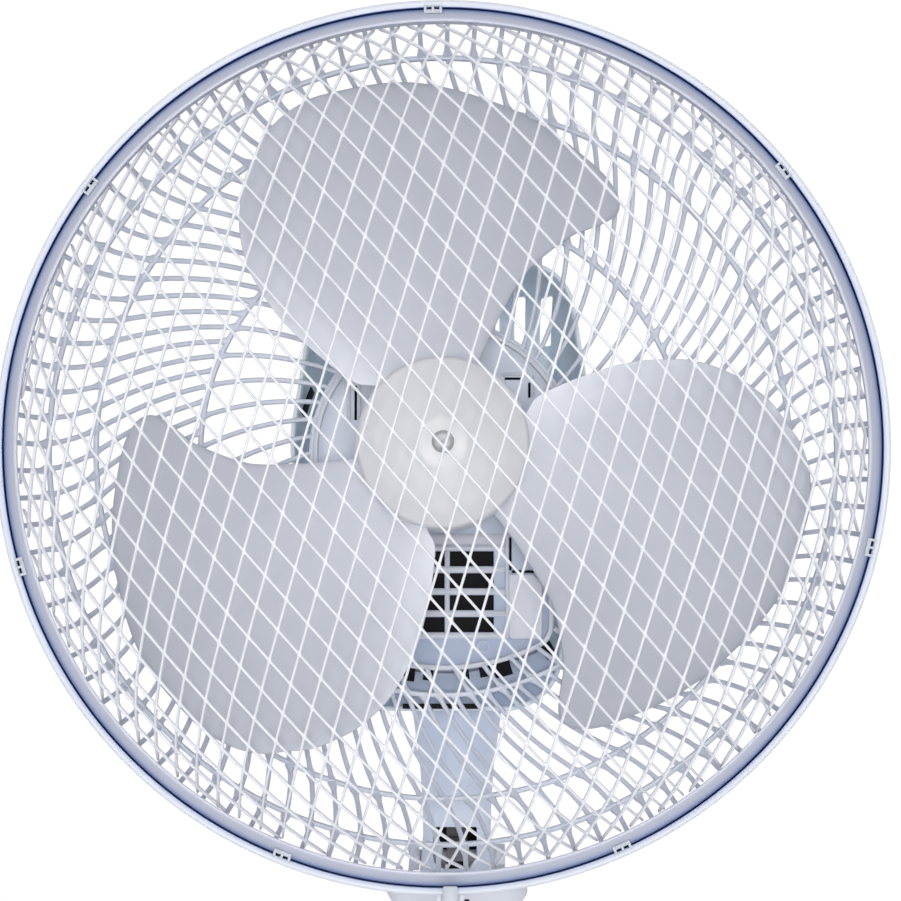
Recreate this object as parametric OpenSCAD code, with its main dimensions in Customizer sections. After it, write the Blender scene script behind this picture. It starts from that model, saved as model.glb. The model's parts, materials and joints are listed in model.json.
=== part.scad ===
// Pedestal fan with a moulded grille, three blades, swinging head and
// height-adjustable stand.  +Z is up, the fan blows towards -Y, and the
// origin is on the floor below the centre of the cross base.

/* [Grille] */
// Outer diameter of the grille ring
ring_d = 440; // [430:2:450]
// Distance of the front net's centre ahead of the ring plane
front_depth = 78; // [74:1:80]
// Side of one rhombic cell of the front net, measured along the dome
net_cell = 28; // [26:1:32]
// Number of ribs of the rear bowl
rear_ribs_n = 48; // [36:4:52]
// Distance of the ring plane ahead of the pole axis
ring_reach = 140; // [138:1:142]

/* [Blades] */
// Diameter swept by the blade tips
blade_d = 364; // [340:2:368]
// Number of blades
blade_n = 3; // [3:1:4]
// Diameter of the blade hub
hub_d = 84; // [80:1:86]
// Axial rise of a blade for each degree of its arc
blade_rise = 0.75; // [0.6:0.05:0.8]

/* [Stand] */
// Height of the blade axis above the floor
axis_h = 930; // [920:5:960]
// Height adjustment each way from the drawn position
lift = 100; // [60:10:100]
// Outer diameter of the fixed lower tube
outer_tube_d = 28; // [28:1:30]
// Outer diameter of the sliding upper tube
inner_tube_d = 20; // [18:1:20]
// Length of each of the two crossed legs
leg_l = 600; // [580:10:640]
// Width of a leg
leg_w = 46; // [42:1:50]
// Height of a leg
leg_h = 24; // [22:1:26]

/* [Controls] */
// Width of the control box at its widest
box_w = 84; // [80:1:90]
// Height of the control box
box_h = 142; // [138:1:146]
// Depth of the control box
box_d = 64; // [62:1:68]
// Travel of a speed button
button_travel = 4; // [3:0.5:4]
// Pull of the oscillation knob
knob_pull = 10; // [6:1:12]

/* [Hidden] */

$fn = 48;
fit = 0.05;                    // radial clearance of a running fit
touch = 0.02;                  // gap left between pieces that only meet
ring_r = ring_d / 2;
plane_f = ring_reach;          // ring plane, measured forward of the pole axis
pole_x = 7.5;                  // pole axis, measured right of the blade axis
white = [0.93, 0.94, 0.96];
shade = [0.80, 0.84, 0.91];
milky = [0.94, 0.93, 0.92];
grey = [0.76, 0.78, 0.81];
steel = [0.72, 0.73, 0.75];
dark = [0.13, 0.13, 0.15];

// Places on the head, as heights from the blade axis
tilt_y = -212;
neck_top_y = -118;
shell_bottom_y = -133;
link_y = -106;
// Places on the stand, as heights from the floor
bracket_top = axis_h + tilt_y - 10;
box_top = bracket_top - 26;
box_bottom = box_top - box_h;
collar_top = box_bottom - lift - 10;
collar_h = 56;
leg_z = 6;
leg_top = leg_z + leg_h;

// Motor and gearbox places, measured forward of the pole axis
shaft_r = 4;
motor_r = 42;
bell_front_f = 50;
bell_rear_f = 0;
core_f0 = 12;
core_f1 = 38;
worm_f = -17;
worm_r = 3.2;
worm_throw = 0.9;
worm_turns = 5;
wheel_teeth = 20;
wheel_pitch_r = 10;
worm_pitch = 2 * PI * wheel_pitch_r / wheel_teeth;
worm_l = worm_turns * worm_pitch;
wheel_x = wheel_pitch_r + worm_r + 0.35;
crank_f = -34;
swing_max = 40;
link_pin_x = 14;
crank_throw = link_pin_x * sin(swing_max);

// Head frame: x to the right and y up from the blade axis, z forward
module on_head() translate([-pole_x, 0, axis_h]) rotate([90, 0, 0]) children();
// On the pole axis at the blade axis' height, with z up and y backward
module on_pole() translate([0, 0, axis_h]) children();
module ring(r0, r1, z0, z1)
  translate([0, 0, z0]) difference() {
    cylinder(r = r1, h = z1 - z0);
    translate([0, 0, -1]) cylinder(r = r0, h = z1 - z0 + 2);
  }
module disc(r, z0, z1) translate([0, 0, z0]) cylinder(r = r, h = z1 - z0);

// ---------------------------------------------------------------- lattice
// A lattice sheet of straight strands.  Each node is a small patch with four
// corners on the outer face and four on the inner, and strands join the
// patches.  cap_faces closes a side of a patch that no strand leaves.
function patch_faces(b) = [
  [b, b + 2, b + 1], [b, b + 3, b + 2],
  [b + 4, b + 5, b + 6], [b + 4, b + 6, b + 7]];
function cap_faces(b, x, y) = [
  [b + x, b + y + 4, b + x + 4], [b + x, b + y, b + y + 4]];
function strand_faces(a, b, c, d) = [
  [a, b, c], [b, d, c],
  [a + 4, c + 4, b + 4], [b + 4, c + 4, d + 4],
  [a, c + 4, a + 4], [a, c, c + 4],
  [b, d + 4, d], [b, b + 4, d + 4]];

// ------------------------------------------------------------- front net
// Height of the dome ahead of the ring plane against radius
dome = [[0, front_depth], [60, front_depth - 2], [120, front_depth - 10],
  [160, front_depth - 23], [180, 43], [195, 28], [205, 12], [ring_r - 8.5, 5]];
function arc_sum(p, i) = i == 0 ? 0 : arc_sum(p, i - 1) + norm(p[i] - p[i - 1]);
dome_r = [for (i = [0 : len(dome) - 1]) [arc_sum(dome, i), dome[i].x]];
dome_f = [for (i = [0 : len(dome) - 1]) [arc_sum(dome, i), dome[i].y]];
net_s = dome_r[len(dome) - 1].x;
net_a1 = 73.7;
net_a2 = 131.5;
net_w = 1.0;
net_h = 1.8;
net_n = ceil(net_s / net_cell) + 4;
net_edge = 9;
u1 = [cos(net_a1), sin(net_a1)];
u2 = [cos(net_a2), sin(net_a2)];
function net_flat(i, j) = net_cell * (i * u1 + j * u2) + [0.8, -5.3];
function net_inside(i, j) = norm(net_flat(i, j)) < net_s - net_edge;
function net_kept(i, j) = net_inside(i, j)
  || net_inside(i + 1, j) || net_inside(i - 1, j)
  || net_inside(i, j + 1) || net_inside(i, j - 1);
function net_held(i, j) = let (p = net_flat(i, j))
  net_inside(i, j) ? p : p * net_s / norm(p);
function on_dome(p, back) = let (s = norm(p), r = lookup(s, dome_r))
  [r * p.x / s, r * p.y / s, plane_f + lookup(s, dome_f) - back];
net_list = [for (i = [-net_n : net_n]) for (j = [-net_n : net_n])
  if (net_kept(i, j)) [i, j]];
net_row = [for (i = [-net_n : net_n])
  [for (k = [0 : len(net_list) - 1]) if (net_list[k].x == i) k]];
function net_id(i, j) = let (hit = [for (k = net_row[i + net_n])
  if (net_list[k].y == j) k]) len(hit) > 0 ? hit[0] : -1;
function net_joined(a, b) = b >= 0
  && (net_inside(net_list[a].x, net_list[a].y)
  || net_inside(net_list[b].x, net_list[b].y));
net_points = [for (n = net_list)
  let (p = net_held(n.x, n.y))
  for (back = [0, net_h]) for (c = [[1, 1], [-1, 1], [-1, -1], [1, -1]])
    on_dome(p + net_w * (c.x * u1 + c.y * u2), back)];
net_faces = [for (k = [0 : len(net_list) - 1])
  let (n = net_list[k], b = 8 * k,
    e1 = net_id(n.x + 1, n.y), e2 = net_id(n.x, n.y + 1),
    w1 = net_id(n.x - 1, n.y), w2 = net_id(n.x, n.y - 1))
  for (f = concat(patch_faces(b),
    net_joined(k, e1) ? strand_faces(b + 3, b, 8 * e1 + 2, 8 * e1 + 1)
      : cap_faces(b, 3, 0),
    net_joined(k, e2) ? strand_faces(b, b + 1, 8 * e2 + 3, 8 * e2 + 2)
      : cap_faces(b, 0, 1),
    net_joined(k, w1) ? [] : cap_faces(b, 1, 2),
    net_joined(k, w2) ? [] : cap_faces(b, 2, 3))) f];

module front_net() color(white) on_head()
  polyhedron(points = net_points, faces = net_faces);

module front_rim() color(shade) on_head()
  rotate_extrude() polygon([
    [ring_r - 5.8, plane_f - 6], [ring_r - 4, plane_f - 6],
    [ring_r - 4, plane_f - 1], [ring_r - 7, plane_f + 2],
    [ring_r - 11, plane_f + 9.5], [ring_r - 13, plane_f + 9],
    [ring_r - 9, plane_f + 1], [ring_r - 5.8, plane_f - 2.5]]);

clip_n = 7;
clip_pitch = 52.45;
clip_start = 91.3 - 3 * clip_pitch;
clip_w = 9;
// Snap loops that stand on the front rim and reach over the rear ring's lip
module rim_clips() color(white) on_head()
  for (k = [0 : clip_n - 1])
    rotate([0, 0, clip_start + k * clip_pitch])
      translate([ring_r - 3.9, -clip_w / 2, plane_f + 5 + touch])
        difference() {
          cube([3.9, clip_w, 2]);
          for (s = [0.25, 0.75])
            translate([1, clip_w * s - 1.2, -1]) cube([1.6, 2.4, 4]);
        }

// -------------------------------------------------------------- rear bowl
rear_ring_f = plane_f - 9;
module rear_rim() color(white) on_head() {
  rotate_extrude() polygon([
    [ring_r - 9, rear_ring_f], [ring_r, rear_ring_f],
    [ring_r, plane_f + 5], [ring_r - 3.2, plane_f + 5],
    [ring_r - 3.2, rear_ring_f + 2.5], [ring_r - 9, rear_ring_f + 2.5]]);
  latch_lugs();
}

// Bowl: radius against distance forward of the pole axis
bowl = [[67, 64], [95, 67], [124.5, 71], [150, 77], [176.5, 87], [198.5, 103],
  [209, 117], [ring_r - 6, rear_ring_f + 1]];
bowl_ring_rows = [0, 2, 4, 5, 7];
bowl_twist = 27;               // how far a rib leans round, up to lean_r
lean_r = 178;
bowl_w = 1.3;
bowl_h = 4;
bowl_rows = len(bowl);
plate_half_w = 57;
plate_drop = 112;
function rib_angle(i, j) = i * 360 / rear_ribs_n
  + bowl_twist * min(1, (bowl[j].x - bowl[0].x) / (lean_r - bowl[0].x));
function bowl_at(r, a, back) = [r * cos(a), r * sin(a),
  lookup(r, bowl) - back];
function bowl_hidden(i, j) = let (p = bowl_at(bowl[j].x, rib_angle(i, j), 0))
  j == 1 && p.y < -20 && abs(p.x) < plate_half_w + 1;
function bowl_ring(j) = len([for (k = bowl_ring_rows) if (k == j) k]) > 0;
function bowl_id(i, j) = ((i + rear_ribs_n) % rear_ribs_n) * bowl_rows + j;
function bowl_has(i, j) = j >= 0 && j < bowl_rows && !bowl_hidden(i, j);
bowl_list = [for (i = [0 : rear_ribs_n - 1]) for (j = [0 : bowl_rows - 1])
  if (bowl_has(i, j)) [i, j]];
bowl_number = [for (i = [0 : rear_ribs_n - 1]) for (j = [0 : bowl_rows - 1])
  bowl_has(i, j) ? 1 : 0];
function sum_to(v, n, k = 0, t = 0) = k >= n ? t : sum_to(v, n, k + 1, t + v[k]);
bowl_start = [for (n = [0 : len(bowl_number) - 1]) sum_to(bowl_number, n)];
function bowl_vertex(i, j) = 8 * bowl_start[bowl_id(i, j)];
bowl_points = [for (n = bowl_list)
  let (r = bowl[n.y].x, a = rib_angle(n.x, n.y),
    wa = bowl_w * 180 / (PI * r))
  for (back = [bowl_h, 0]) for (c = [[1, 1], [-1, 1], [-1, -1], [1, -1]])
    bowl_at(r + c.y * bowl_w, a + c.x * wa, back)];
function ring_joined(i, j) = bowl_ring(j) && bowl_has(i, j) && bowl_has(i + 1, j);
function rib_joined(i, j) = j >= 0 && j < bowl_rows - 1
  && bowl_has(i, j) && bowl_has(i, j + 1);
bowl_faces = [for (n = bowl_list)
  let (i = n.x, j = n.y, b = bowl_vertex(i, j))
  for (f = concat(patch_faces(b),
    ring_joined(i, j) ? let (e = bowl_vertex(i + 1, j))
      strand_faces(b + 3, b, e + 2, e + 1) : cap_faces(b, 3, 0),
    rib_joined(i, j) ? let (e = bowl_vertex(i, j + 1))
      strand_faces(b, b + 1, e + 3, e + 2) : cap_faces(b, 0, 1),
    ring_joined(i - 1, j) ? [] : cap_faces(b, 1, 2),
    rib_joined(i, j - 1) ? [] : cap_faces(b, 2, 3))) f];

module rear_ribs() color(shade) on_head()
  polyhedron(points = bowl_points, faces = bowl_faces);

plate_r = 67;
plate_f = 60;
plate_t = 3;
plate_lip = 7;
corner_r = 13;
corner_x = plate_half_w - corner_r;
corner_y = -sqrt(pow(plate_drop - corner_r, 2) - pow(corner_x, 2));
// Outline of the centre plate: a disc with a broad tongue hanging from it, whose
// foot is an arc about the axis
module plate_shape(grow) {
  circle(r = plate_r + grow);
  translate([-plate_half_w - grow, corner_y])
    square([2 * (plate_half_w + grow), -corner_y]);
  for (s = [-1, 1])
    translate([s * corner_x, corner_y]) circle(r = corner_r + grow);
  intersection() {
    circle(r = plate_drop + grow, $fn = 96);
    polygon([[0, 0], 2 * [corner_x, corner_y], 2 * [-corner_x, corner_y]]);
  }
}
boss_r = 20;
vent_n = 4;
vent_pitch = 11.3;
vent_h = 6.8;
vent_y = -57;
module rear_plate() color(white) on_head() difference() {
  union() {
    translate([0, 0, plate_f]) linear_extrude(plate_t) plate_shape(0);
    translate([0, 0, plate_f]) linear_extrude(plate_lip)
      difference() {
        plate_shape(0);
        plate_shape(-3);
      }
  }
  disc(boss_r + touch, 0, 100);
  for (k = [0 : vent_n - 1]) for (s = [[-20, 20.5], [3.8, 20.9]])
    translate([s.x, vent_y - k * vent_pitch, plate_f - 1])
      cube([s.y, vent_h, plate_t + 2]);
}
module grille_nut() color(shade) on_head() difference() {
  union() {
    disc(34, plate_f + plate_t + touch, plate_f + plate_t + 4);
    disc(27, plate_f + plate_t + 4, plate_f + plate_t + 10);
  }
  disc(boss_r + touch, 0, 100);
  for (a = [0 : 45 : 315]) rotate([0, 0, a]) translate([34, 0, 0])
    disc(4, plate_f, plate_f + plate_t + 6);
}

// ------------------------------------------------------------------ latch
latch_w = 7;
latch_x = 3.6;
latch_pin_y = -(ring_r + 5);
latch_pin_f = plane_f - 5;
module latch_lugs() difference() {
  for (s = [-1, 1])
    translate([latch_x + s * (latch_w / 2 + 1.9) - 1.5, latch_pin_y - 3.5,
      latch_pin_f - 3.5])
      cube([3, 10, 7]);
  translate([-20, latch_pin_y, latch_pin_f]) rotate([0, 90, 0])
    cylinder(r = 1.2 + touch, h = 40);
}
module latch_pin() color(steel) on_head()
  translate([latch_x - latch_w / 2 - 3.4, latch_pin_y, latch_pin_f])
    rotate([0, 90, 0]) cylinder(r = 1.2, h = latch_w + 6.8);
module latch() color(white) on_head() difference() {
  union() {
    translate([latch_x - latch_w / 2, latch_pin_y - 2.5, latch_pin_f])
      cube([latch_w, 5, 17.5]);
    translate([latch_x - latch_w / 2, latch_pin_y, latch_pin_f])
      rotate([0, 90, 0]) cylinder(r = 2.5, h = latch_w);
    translate([latch_x - latch_w / 2, latch_pin_y - 10, latch_pin_f + 15])
      cube([latch_w, 20, 2.5]);
  }
  translate([-20, latch_pin_y, latch_pin_f]) rotate([0, 90, 0])
    cylinder(r = 1.2 + fit, h = 40);
}

// ----------------------------------------------------------------- blades
hub_r = hub_d / 2;
hub_f0 = 100;
hub_f1 = 160;
blade_f = 136;
blade_t = 2;
blade_mid = 97;
tip_r = blade_d / 2;
// Leading and trailing edge of a blade: angle against radius
lead = [[38, 67], [60, 67], [88, 65.5], [103, 63.5], [124, 59], [tip_r - 41, 54.3],
  [tip_r - 34, 53.4], [tip_r - 28, 54.6], [tip_r - 24, 57.2], [tip_r - 17, 67],
  [tip_r - 8, 81], [tip_r - 2.5, 91], [tip_r, 99]];
trail = [[38, 138], [43, 139], [50, 146], [60, 146], [91, 143.5], [117, 140], [tip_r - 46, 136],
  [tip_r - 36, 133], [tip_r - 28, 130], [tip_r - 14, 123], [tip_r - 8, 119.5],
  [tip_r - 2.5, 115], [tip_r, 109]];
blade_rows = [38, 43, 50, 60, 72, 88, 104, 124, tip_r - 41, tip_r - 34, tip_r - 28,
  tip_r - 24, tip_r - 17, tip_r - 8, tip_r - 2.5, tip_r];
blade_cols = 9;
function rise_at(r) = blade_rise * (0.7 + 0.3 * min(1, (r - 38) / 50));
function blade_at(r, t, side) = let (
    a = lookup(r, lead) + t * (lookup(r, trail) - lookup(r, lead)),
    camber = 5 * sin(180 * t) * (r - 38) / (tip_r - 38))
  [r * cos(a), r * sin(a),
    blade_f + rise_at(r) * (a - blade_mid) + camber + side * blade_t / 2];
blade_pts = [for (side = [1, -1]) for (r = blade_rows)
  for (c = [0 : blade_cols]) blade_at(r, c / blade_cols, side)];
blade_w = blade_cols + 1;
blade_m = len(blade_rows) * blade_w;
function quad(a, b, c, d) = [[a, b, c], [a, c, d]];
blade_faces = [
  for (j = [0 : len(blade_rows) - 2]) for (c = [0 : blade_cols - 1])
    let (a = j * blade_w + c, b = a + 1, d = a + blade_w, e = d + 1)
    for (f = concat(quad(a, b, e, d),
      quad(a + blade_m, d + blade_m, e + blade_m, b + blade_m))) f,
  for (j = [0 : len(blade_rows) - 2]) for (c = [0, blade_cols])
    let (a = j * blade_w + c, d = a + blade_w)
    for (f = c == 0 ? quad(a, d, d + blade_m, a + blade_m)
      : quad(a, a + blade_m, d + blade_m, d)) f,
  for (c = [0 : blade_cols - 1]) for (j = [0, len(blade_rows) - 1])
    let (a = j * blade_w + c, b = a + 1)
    for (f = j == 0 ? quad(a, a + blade_m, b + blade_m, b)
      : quad(a, b, b + blade_m, a + blade_m)) f];
module blade_set() color(grey) on_head() {
  rotate_extrude() polygon([
    [hub_r - 2.5, hub_f0], [hub_r, hub_f0], [hub_r, hub_f1],
    [shaft_r + fit, hub_f1], [shaft_r + fit, hub_f0 + 20],
    [9, hub_f0 + 20], [9, hub_f1 - 3], [hub_r - 2.5, hub_f1 - 3]]);
  for (k = [0 : blade_n - 1]) rotate([0, 0, k * 360 / blade_n])
    polyhedron(points = blade_pts, faces = blade_faces);
}
// Milky domed cap over the front of the hub
spinner_rise = 11;
module spinner() color(milky) on_head() rotate_extrude() polygon([
  [hub_r, hub_f1 + touch], [hub_r, hub_f1 + 2], [hub_r - 4, hub_f1 + 6],
  [hub_r - 16, hub_f1 + 9.5], [12, hub_f1 + spinner_rise],
  [shaft_r + fit, hub_f1 + spinner_rise], [shaft_r + fit, hub_f1 + touch],
  [9, hub_f1 + touch], [9, hub_f1 + 8.5], [hub_r - 16, hub_f1 + 7],
  [hub_r - 5, hub_f1 + 3.5], [hub_r - 2.5, hub_f1 + touch]]);
nut_f0 = hub_f1 + spinner_rise + touch;
nut_f1 = nut_f0 + 8;
module spinner_nut() color(steel) on_head() difference() {
  rotate_extrude() polygon([
    [shaft_r + fit, nut_f0], [7, nut_f0], [7, nut_f1 - 3],
    [5, nut_f1], [0, nut_f1], [0, nut_f1 - 2.5], [shaft_r + fit, nut_f1 - 2.5]]);
  for (a = [0 : 60 : 300]) rotate([0, 0, a]) translate([7.6, 0, 0])
    disc(1.2, nut_f0 - 1, nut_f1 + 1);
}
module shaft_pin() color(steel) on_head()
  translate([-8, 0, hub_f0 + 18.3]) rotate([0, 90, 0]) cylinder(r = 1.5, h = 16);

// ------------------------------------------------------------------ motor
module shaft() color(steel) on_head() difference() {
  disc(shaft_r, worm_f + worm_l / 2, nut_f1 - 4);
  translate([-9, 0, hub_f0 + 18.3]) rotate([0, 90, 0])
    cylinder(r = 1.5 + touch, h = 18);
}
module rotor_core() color(steel) on_head()
  ring(shaft_r + touch, 23.6, core_f0, core_f1);
module stator_core() color(steel) on_head()
  ring(24, motor_r, core_f0, core_f1);
module stator_windings() color([0.72, 0.40, 0.22]) on_head() {
  ring(27, 38, core_f0 - 8, core_f0 - touch);
  ring(27, 38, core_f1 + touch, core_f1 + 7);
}
module motor_front_bell() color(steel) on_head() difference() {
  union() {
    ring(39, motor_r, core_f1 + touch, bell_front_f);
    disc(motor_r, bell_front_f, bell_front_f + 4);
    disc(boss_r, bell_front_f + 4, plate_f + plate_t + 10);
  }
  disc(7 + touch, 0, 90);
  for (a = [45 : 90 : 315]) rotate([0, 0, a]) translate([30, 0, 0])
    disc(5, bell_front_f - 1, bell_front_f + 5);
}
module motor_rear_bell() color(steel) on_head() difference() {
  union() {
    ring(39, motor_r, bell_rear_f, core_f0 - touch);
    disc(motor_r, bell_rear_f - 4, bell_rear_f);
  }
  disc(7 + touch, -40, 40);
  for (a = [45 : 90 : 315]) rotate([0, 0, a]) translate([30, 0, 0])
    disc(5, bell_rear_f - 5, bell_rear_f + 1);
}
module shaft_bearings() color([0.62, 0.52, 0.35]) on_head() {
  ring(shaft_r + fit, 7, bell_front_f, bell_front_f + 12);
  ring(shaft_r + fit, 7, bell_rear_f - 4, bell_rear_f + 4);
}
module capacitor() color([0.9, 0.9, 0.86]) on_head() {
  translate([-24, motor_r + 4, 8]) cube([40, 20, 28]);
  translate([-4, motor_r + touch, 16]) cube([12, 4 - touch, 8]);
}

// ---------------------------------------------------------------- gearbox
// Single-start worm: a round bar whose centre runs round the shaft's axis
module worm() color(steel) on_head()
  translate([0, 0, worm_f - worm_l / 2])
    linear_extrude(height = worm_l, twist = -360 * worm_turns, slices = 60, $fn = 12)
      translate([worm_throw, 0]) circle(r = worm_r, $fn = 12);
wheel_steps = 8;
module worm_wheel() color([0.90, 0.88, 0.80]) on_pole()
  translate([wheel_x - pole_x, -worm_f, 0]) difference() {
    translate([0, 0, -2]) linear_extrude(4)
      polygon([for (k = [0 : wheel_teeth * wheel_steps - 1])
        let (a = 360 * k / (wheel_teeth * wheel_steps))
        (wheel_pitch_r + worm_throw * cos(wheel_teeth * (a - 180)))
          * [cos(a), sin(a)]]);
    disc(2.5 + fit, -5, 5);
  }
case_x0 = -14;
case_x1 = 34;
case_y0 = -48;
case_y1 = 16;
case_f0 = -50;
case_f1 = -4 - touch;
module gearbox_case() color(steel) on_head() difference() {
  union() {
    translate([case_x0, case_y0, case_f0])
      cube([case_x1 - case_x0, case_y1 - case_y0, case_f1 - case_f0]);
    // Arm down to the swivel bore
    translate([pole_x - 9, -66, case_f0]) cube([18, 20, 44]);
    translate([pole_x - 9, -98, -9]) cube([18, 52, 4.9]);
    translate([pole_x, -98, 0]) rotate([-90, 0, 0]) cylinder(r = 9, h = 46);
  }
  translate([case_x0 + 3, case_y0 + 3, case_f0 + 3])
    cube([case_x1 - case_x0 - 6, case_y1 - case_y0 - 6, case_f1 - case_f0 - 2]);
  // Swivel bore, clutch bore and crank bore
  translate([pole_x, -110, 0]) rotate([-90, 0, 0]) cylinder(r = 6 + fit, h = 49);
  translate([wheel_x, 0, worm_f]) rotate([-90, 0, 0]) cylinder(r = 2.5 + fit, h = 40);
  translate([pole_x, -80, crank_f]) rotate([-90, 0, 0]) cylinder(r = 3 + fit, h = 40);
  // Screw hole of the motor cover
  translate([0, cover_screw_y, 0]) disc(2 + touch, case_f0 - 1, case_f0 + 4);
}
module crank() color(steel) on_pole() translate([0, -crank_f, 0]) {
  disc(3, -92, -43);
  disc(13, -96, -92);
  translate([crank_throw, 0, 0]) disc(2.5, -101, -96);
}
module link_arm() color(steel) on_pole() difference() {
  union() {
    translate([link_pin_x, 0, 0]) disc(6, link_y, link_y + 4);
    translate([crank_throw, -crank_f, 0]) disc(6, link_y, link_y + 4);
    translate([link_pin_x, 0, link_y])
      rotate([0, 0, atan2(crank_throw - link_pin_x, crank_f)  + 180])
        translate([-4, -norm([crank_throw - link_pin_x, crank_f]), 0])
          cube([8, norm([crank_throw - link_pin_x, crank_f]), 4]);
  }
  translate([link_pin_x, 0, 0]) disc(3 + fit, link_y - 1, link_y + 5);
  translate([crank_throw, -crank_f, 0]) disc(3.5, link_y - 1, link_y + 5);
}

// ------------------------------------------------- oscillation pull knob
shell_top_y = 100;
module clutch_rod() color(steel) on_pole()
  translate([wheel_x - pole_x, -worm_f, 0]) disc(2.5, -4, shell_top_y + 6);
module osc_knob() color(white) on_pole()
  translate([wheel_x - pole_x, -worm_f, 0]) difference() {
    union() {
      disc(5.5, shell_top_y - 8, shell_top_y + 16);
      disc(9, shell_top_y + 8, shell_top_y + 16);
    }
    disc(2.5 + touch, shell_top_y - 9, shell_top_y + 6 + touch);
  }

// ------------------------------------------------------------ motor cover
cover_r = 79;
cover_y = 5;
cover_top_r = 28;
cover_top_x = 41;
cover_low_r = 30;
cover_low_x = 32;
cover_f1 = plate_f - 2;
cover_f0 = -74;
cover_wall = 2.5;
cover_screw_y = -32;
slot_pitch = 14.3;
slot_y = 66;
slot_top = 97;
module cover_form(w) hull() {
  $fn = 40;
  translate([0, cover_y, -20]) disc(cover_r - w, 0, cover_f1 + 20 + w);
  for (s = [-1, 1]) {
    translate([s * cover_top_x, shell_top_y - cover_top_r, -20])
      disc(cover_top_r - w, 0, cover_f1 + 20 + w);
    translate([s * 28, 50, 0]) disc(32 - w, cover_f0 + w, -40);
  }
  for (s = [-1, 1])
    translate([s * cover_low_x, shell_bottom_y + cover_low_r, -10])
      disc(cover_low_r - w, 0, cover_f1 + 10 + w);
  translate([0, shell_bottom_y + 48, 0]) disc(40 - w, cover_f0 + 14 + w, -20);
}
module motor_cover() color(shade) on_head() difference() {
  union() {
    difference() {
      cover_form(0);
      cover_form(cover_wall);
    }
    translate([0, cover_screw_y, 0]) disc(5, cover_f0 + 1, case_f0 - touch);
  }
  translate([0, cover_screw_y, 0]) disc(2 + touch, cover_f0 - 1, 0);
  translate([pole_x, -200, 0]) rotate([-90, 0, 0]) cylinder(r = 26, h = 90);
  translate([wheel_x, 60, worm_f]) rotate([-90, 0, 0]) cylinder(r = 6, h = 60);
  // Air slots through the shoulder above the back
  for (k = [-4 : 4]) translate([k * slot_pitch - 3, slot_y, cover_f0 - 2])
    cube([6, slot_top - 1.5 * abs(k) - slot_y, 56]);
}
module cover_screw() color(steel) on_head() translate([0, cover_screw_y, 0]) {
  disc(4.5, cover_f0 - 2, cover_f0 - touch);
  disc(2, cover_f0 - 1, case_f0 + 2.5);
}

// ------------------------------------------------------------------- neck
neck_r = 22;
neck_low_w = 40;
neck_low_d = 34;
neck_wall = 3;
window_w = 26;
module neck_form(w) hull() {
  $fn = 32;
  translate([0, 0, -150]) cylinder(r = neck_r - w, h = 6);
  for (s = [-1, 1]) for (t = [-1, 1])
    translate([s * (neck_low_w / 2 - 6), t * (neck_low_d / 2 - 6), tilt_y - 14])
      cylinder(r = 6 - w, h = 30);
}
tongue_w = 11;
module neck() color(shade) on_pole() difference() {
  union() {
    difference() {
      neck_form(0);
      neck_form(neck_wall);
    }
    disc(neck_r, -150, neck_top_y - 6);
    disc(24, neck_top_y - 6, neck_top_y);
    for (s = [-1, 1]) translate([s * 11.95 - 6.05, -12, tilt_y - 12])
      cube([12.1, 24, 40]);
  }
  // Room for the bracket's tongue, open to the front, back and below
  translate([-tongue_w / 2 - 0.4, -40, tilt_y - 20]) cube([tongue_w + 0.8, 80, 36]);
  translate([-window_w / 2, -40, tilt_y - 20]) cube([window_w, 27, 30]);
  translate([-window_w / 2, 13, tilt_y - 20]) cube([window_w, 27, 30]);
  translate([-40, 0, tilt_y]) rotate([0, 90, 0]) cylinder(r = 4 + fit, h = 80);
  // Flat seats for the bolt's head and the nut
  for (s = [-1, 1]) translate([s * (neck_low_w / 2 + 5), 0, tilt_y])
    rotate([0, 90, 0]) cylinder(r = 8.5, h = 10, center = true);
  disc(6 + touch, -140, -100);
  translate([link_pin_x, 0, 0]) disc(3 + touch, -130, -100);
}
module swivel_post() color(steel) on_pole() disc(6, -140, -62);
module link_pin() color(steel) on_pole()
  translate([link_pin_x, 0, 0]) disc(3, -130, -101.4);
module tilt_bolt() color(steel) translate([0, 0, axis_h + tilt_y])
  rotate([0, 90, 0]) {
    disc(4, -neck_low_w / 2 - touch, neck_low_w / 2 + 5);
    disc(7, -neck_low_w / 2 - 4.5, -neck_low_w / 2 - touch);
  }
module tilt_nut() color(steel) translate([0, 0, axis_h + tilt_y])
  rotate([0, 90, 0]) difference() {
    translate([0, 0, neck_low_w / 2 + touch]) cylinder(r = 7.2, h = 5.5, $fn = 6);
    disc(4 + touch, 0, neck_low_w);
  }

// ------------------------------------------------------------------- mast
module tilt_bracket() color(white) {
  difference() {
    hull() {
      $fn = 32;
      for (s = [-1, 1]) for (t = [-1, 1]) {
        translate([s * 30, t * 21, bracket_top - 8]) cylinder(r = 7, h = 8);
        translate([s * 18, t * 17, box_top + touch]) cylinder(r = 7, h = 2);
      }
    }
    // Dished top, so the neck's foot can swing
    translate([-60, 0, axis_h + tilt_y]) rotate([0, 90, 0])
      cylinder(r = 25, h = 120);
  }
  difference() {
    union() {
      translate([-tongue_w / 2, -12, box_top + 2])
        cube([tongue_w, 24, axis_h + tilt_y - box_top - 2]);
      translate([-tongue_w / 2, 0, axis_h + tilt_y]) rotate([0, 90, 0])
        cylinder(r = 12, h = tongue_w);
    }
    translate([-40, 0, axis_h + tilt_y]) rotate([0, 90, 0])
      cylinder(r = 4 + fit, h = 80);
  }
}
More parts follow.
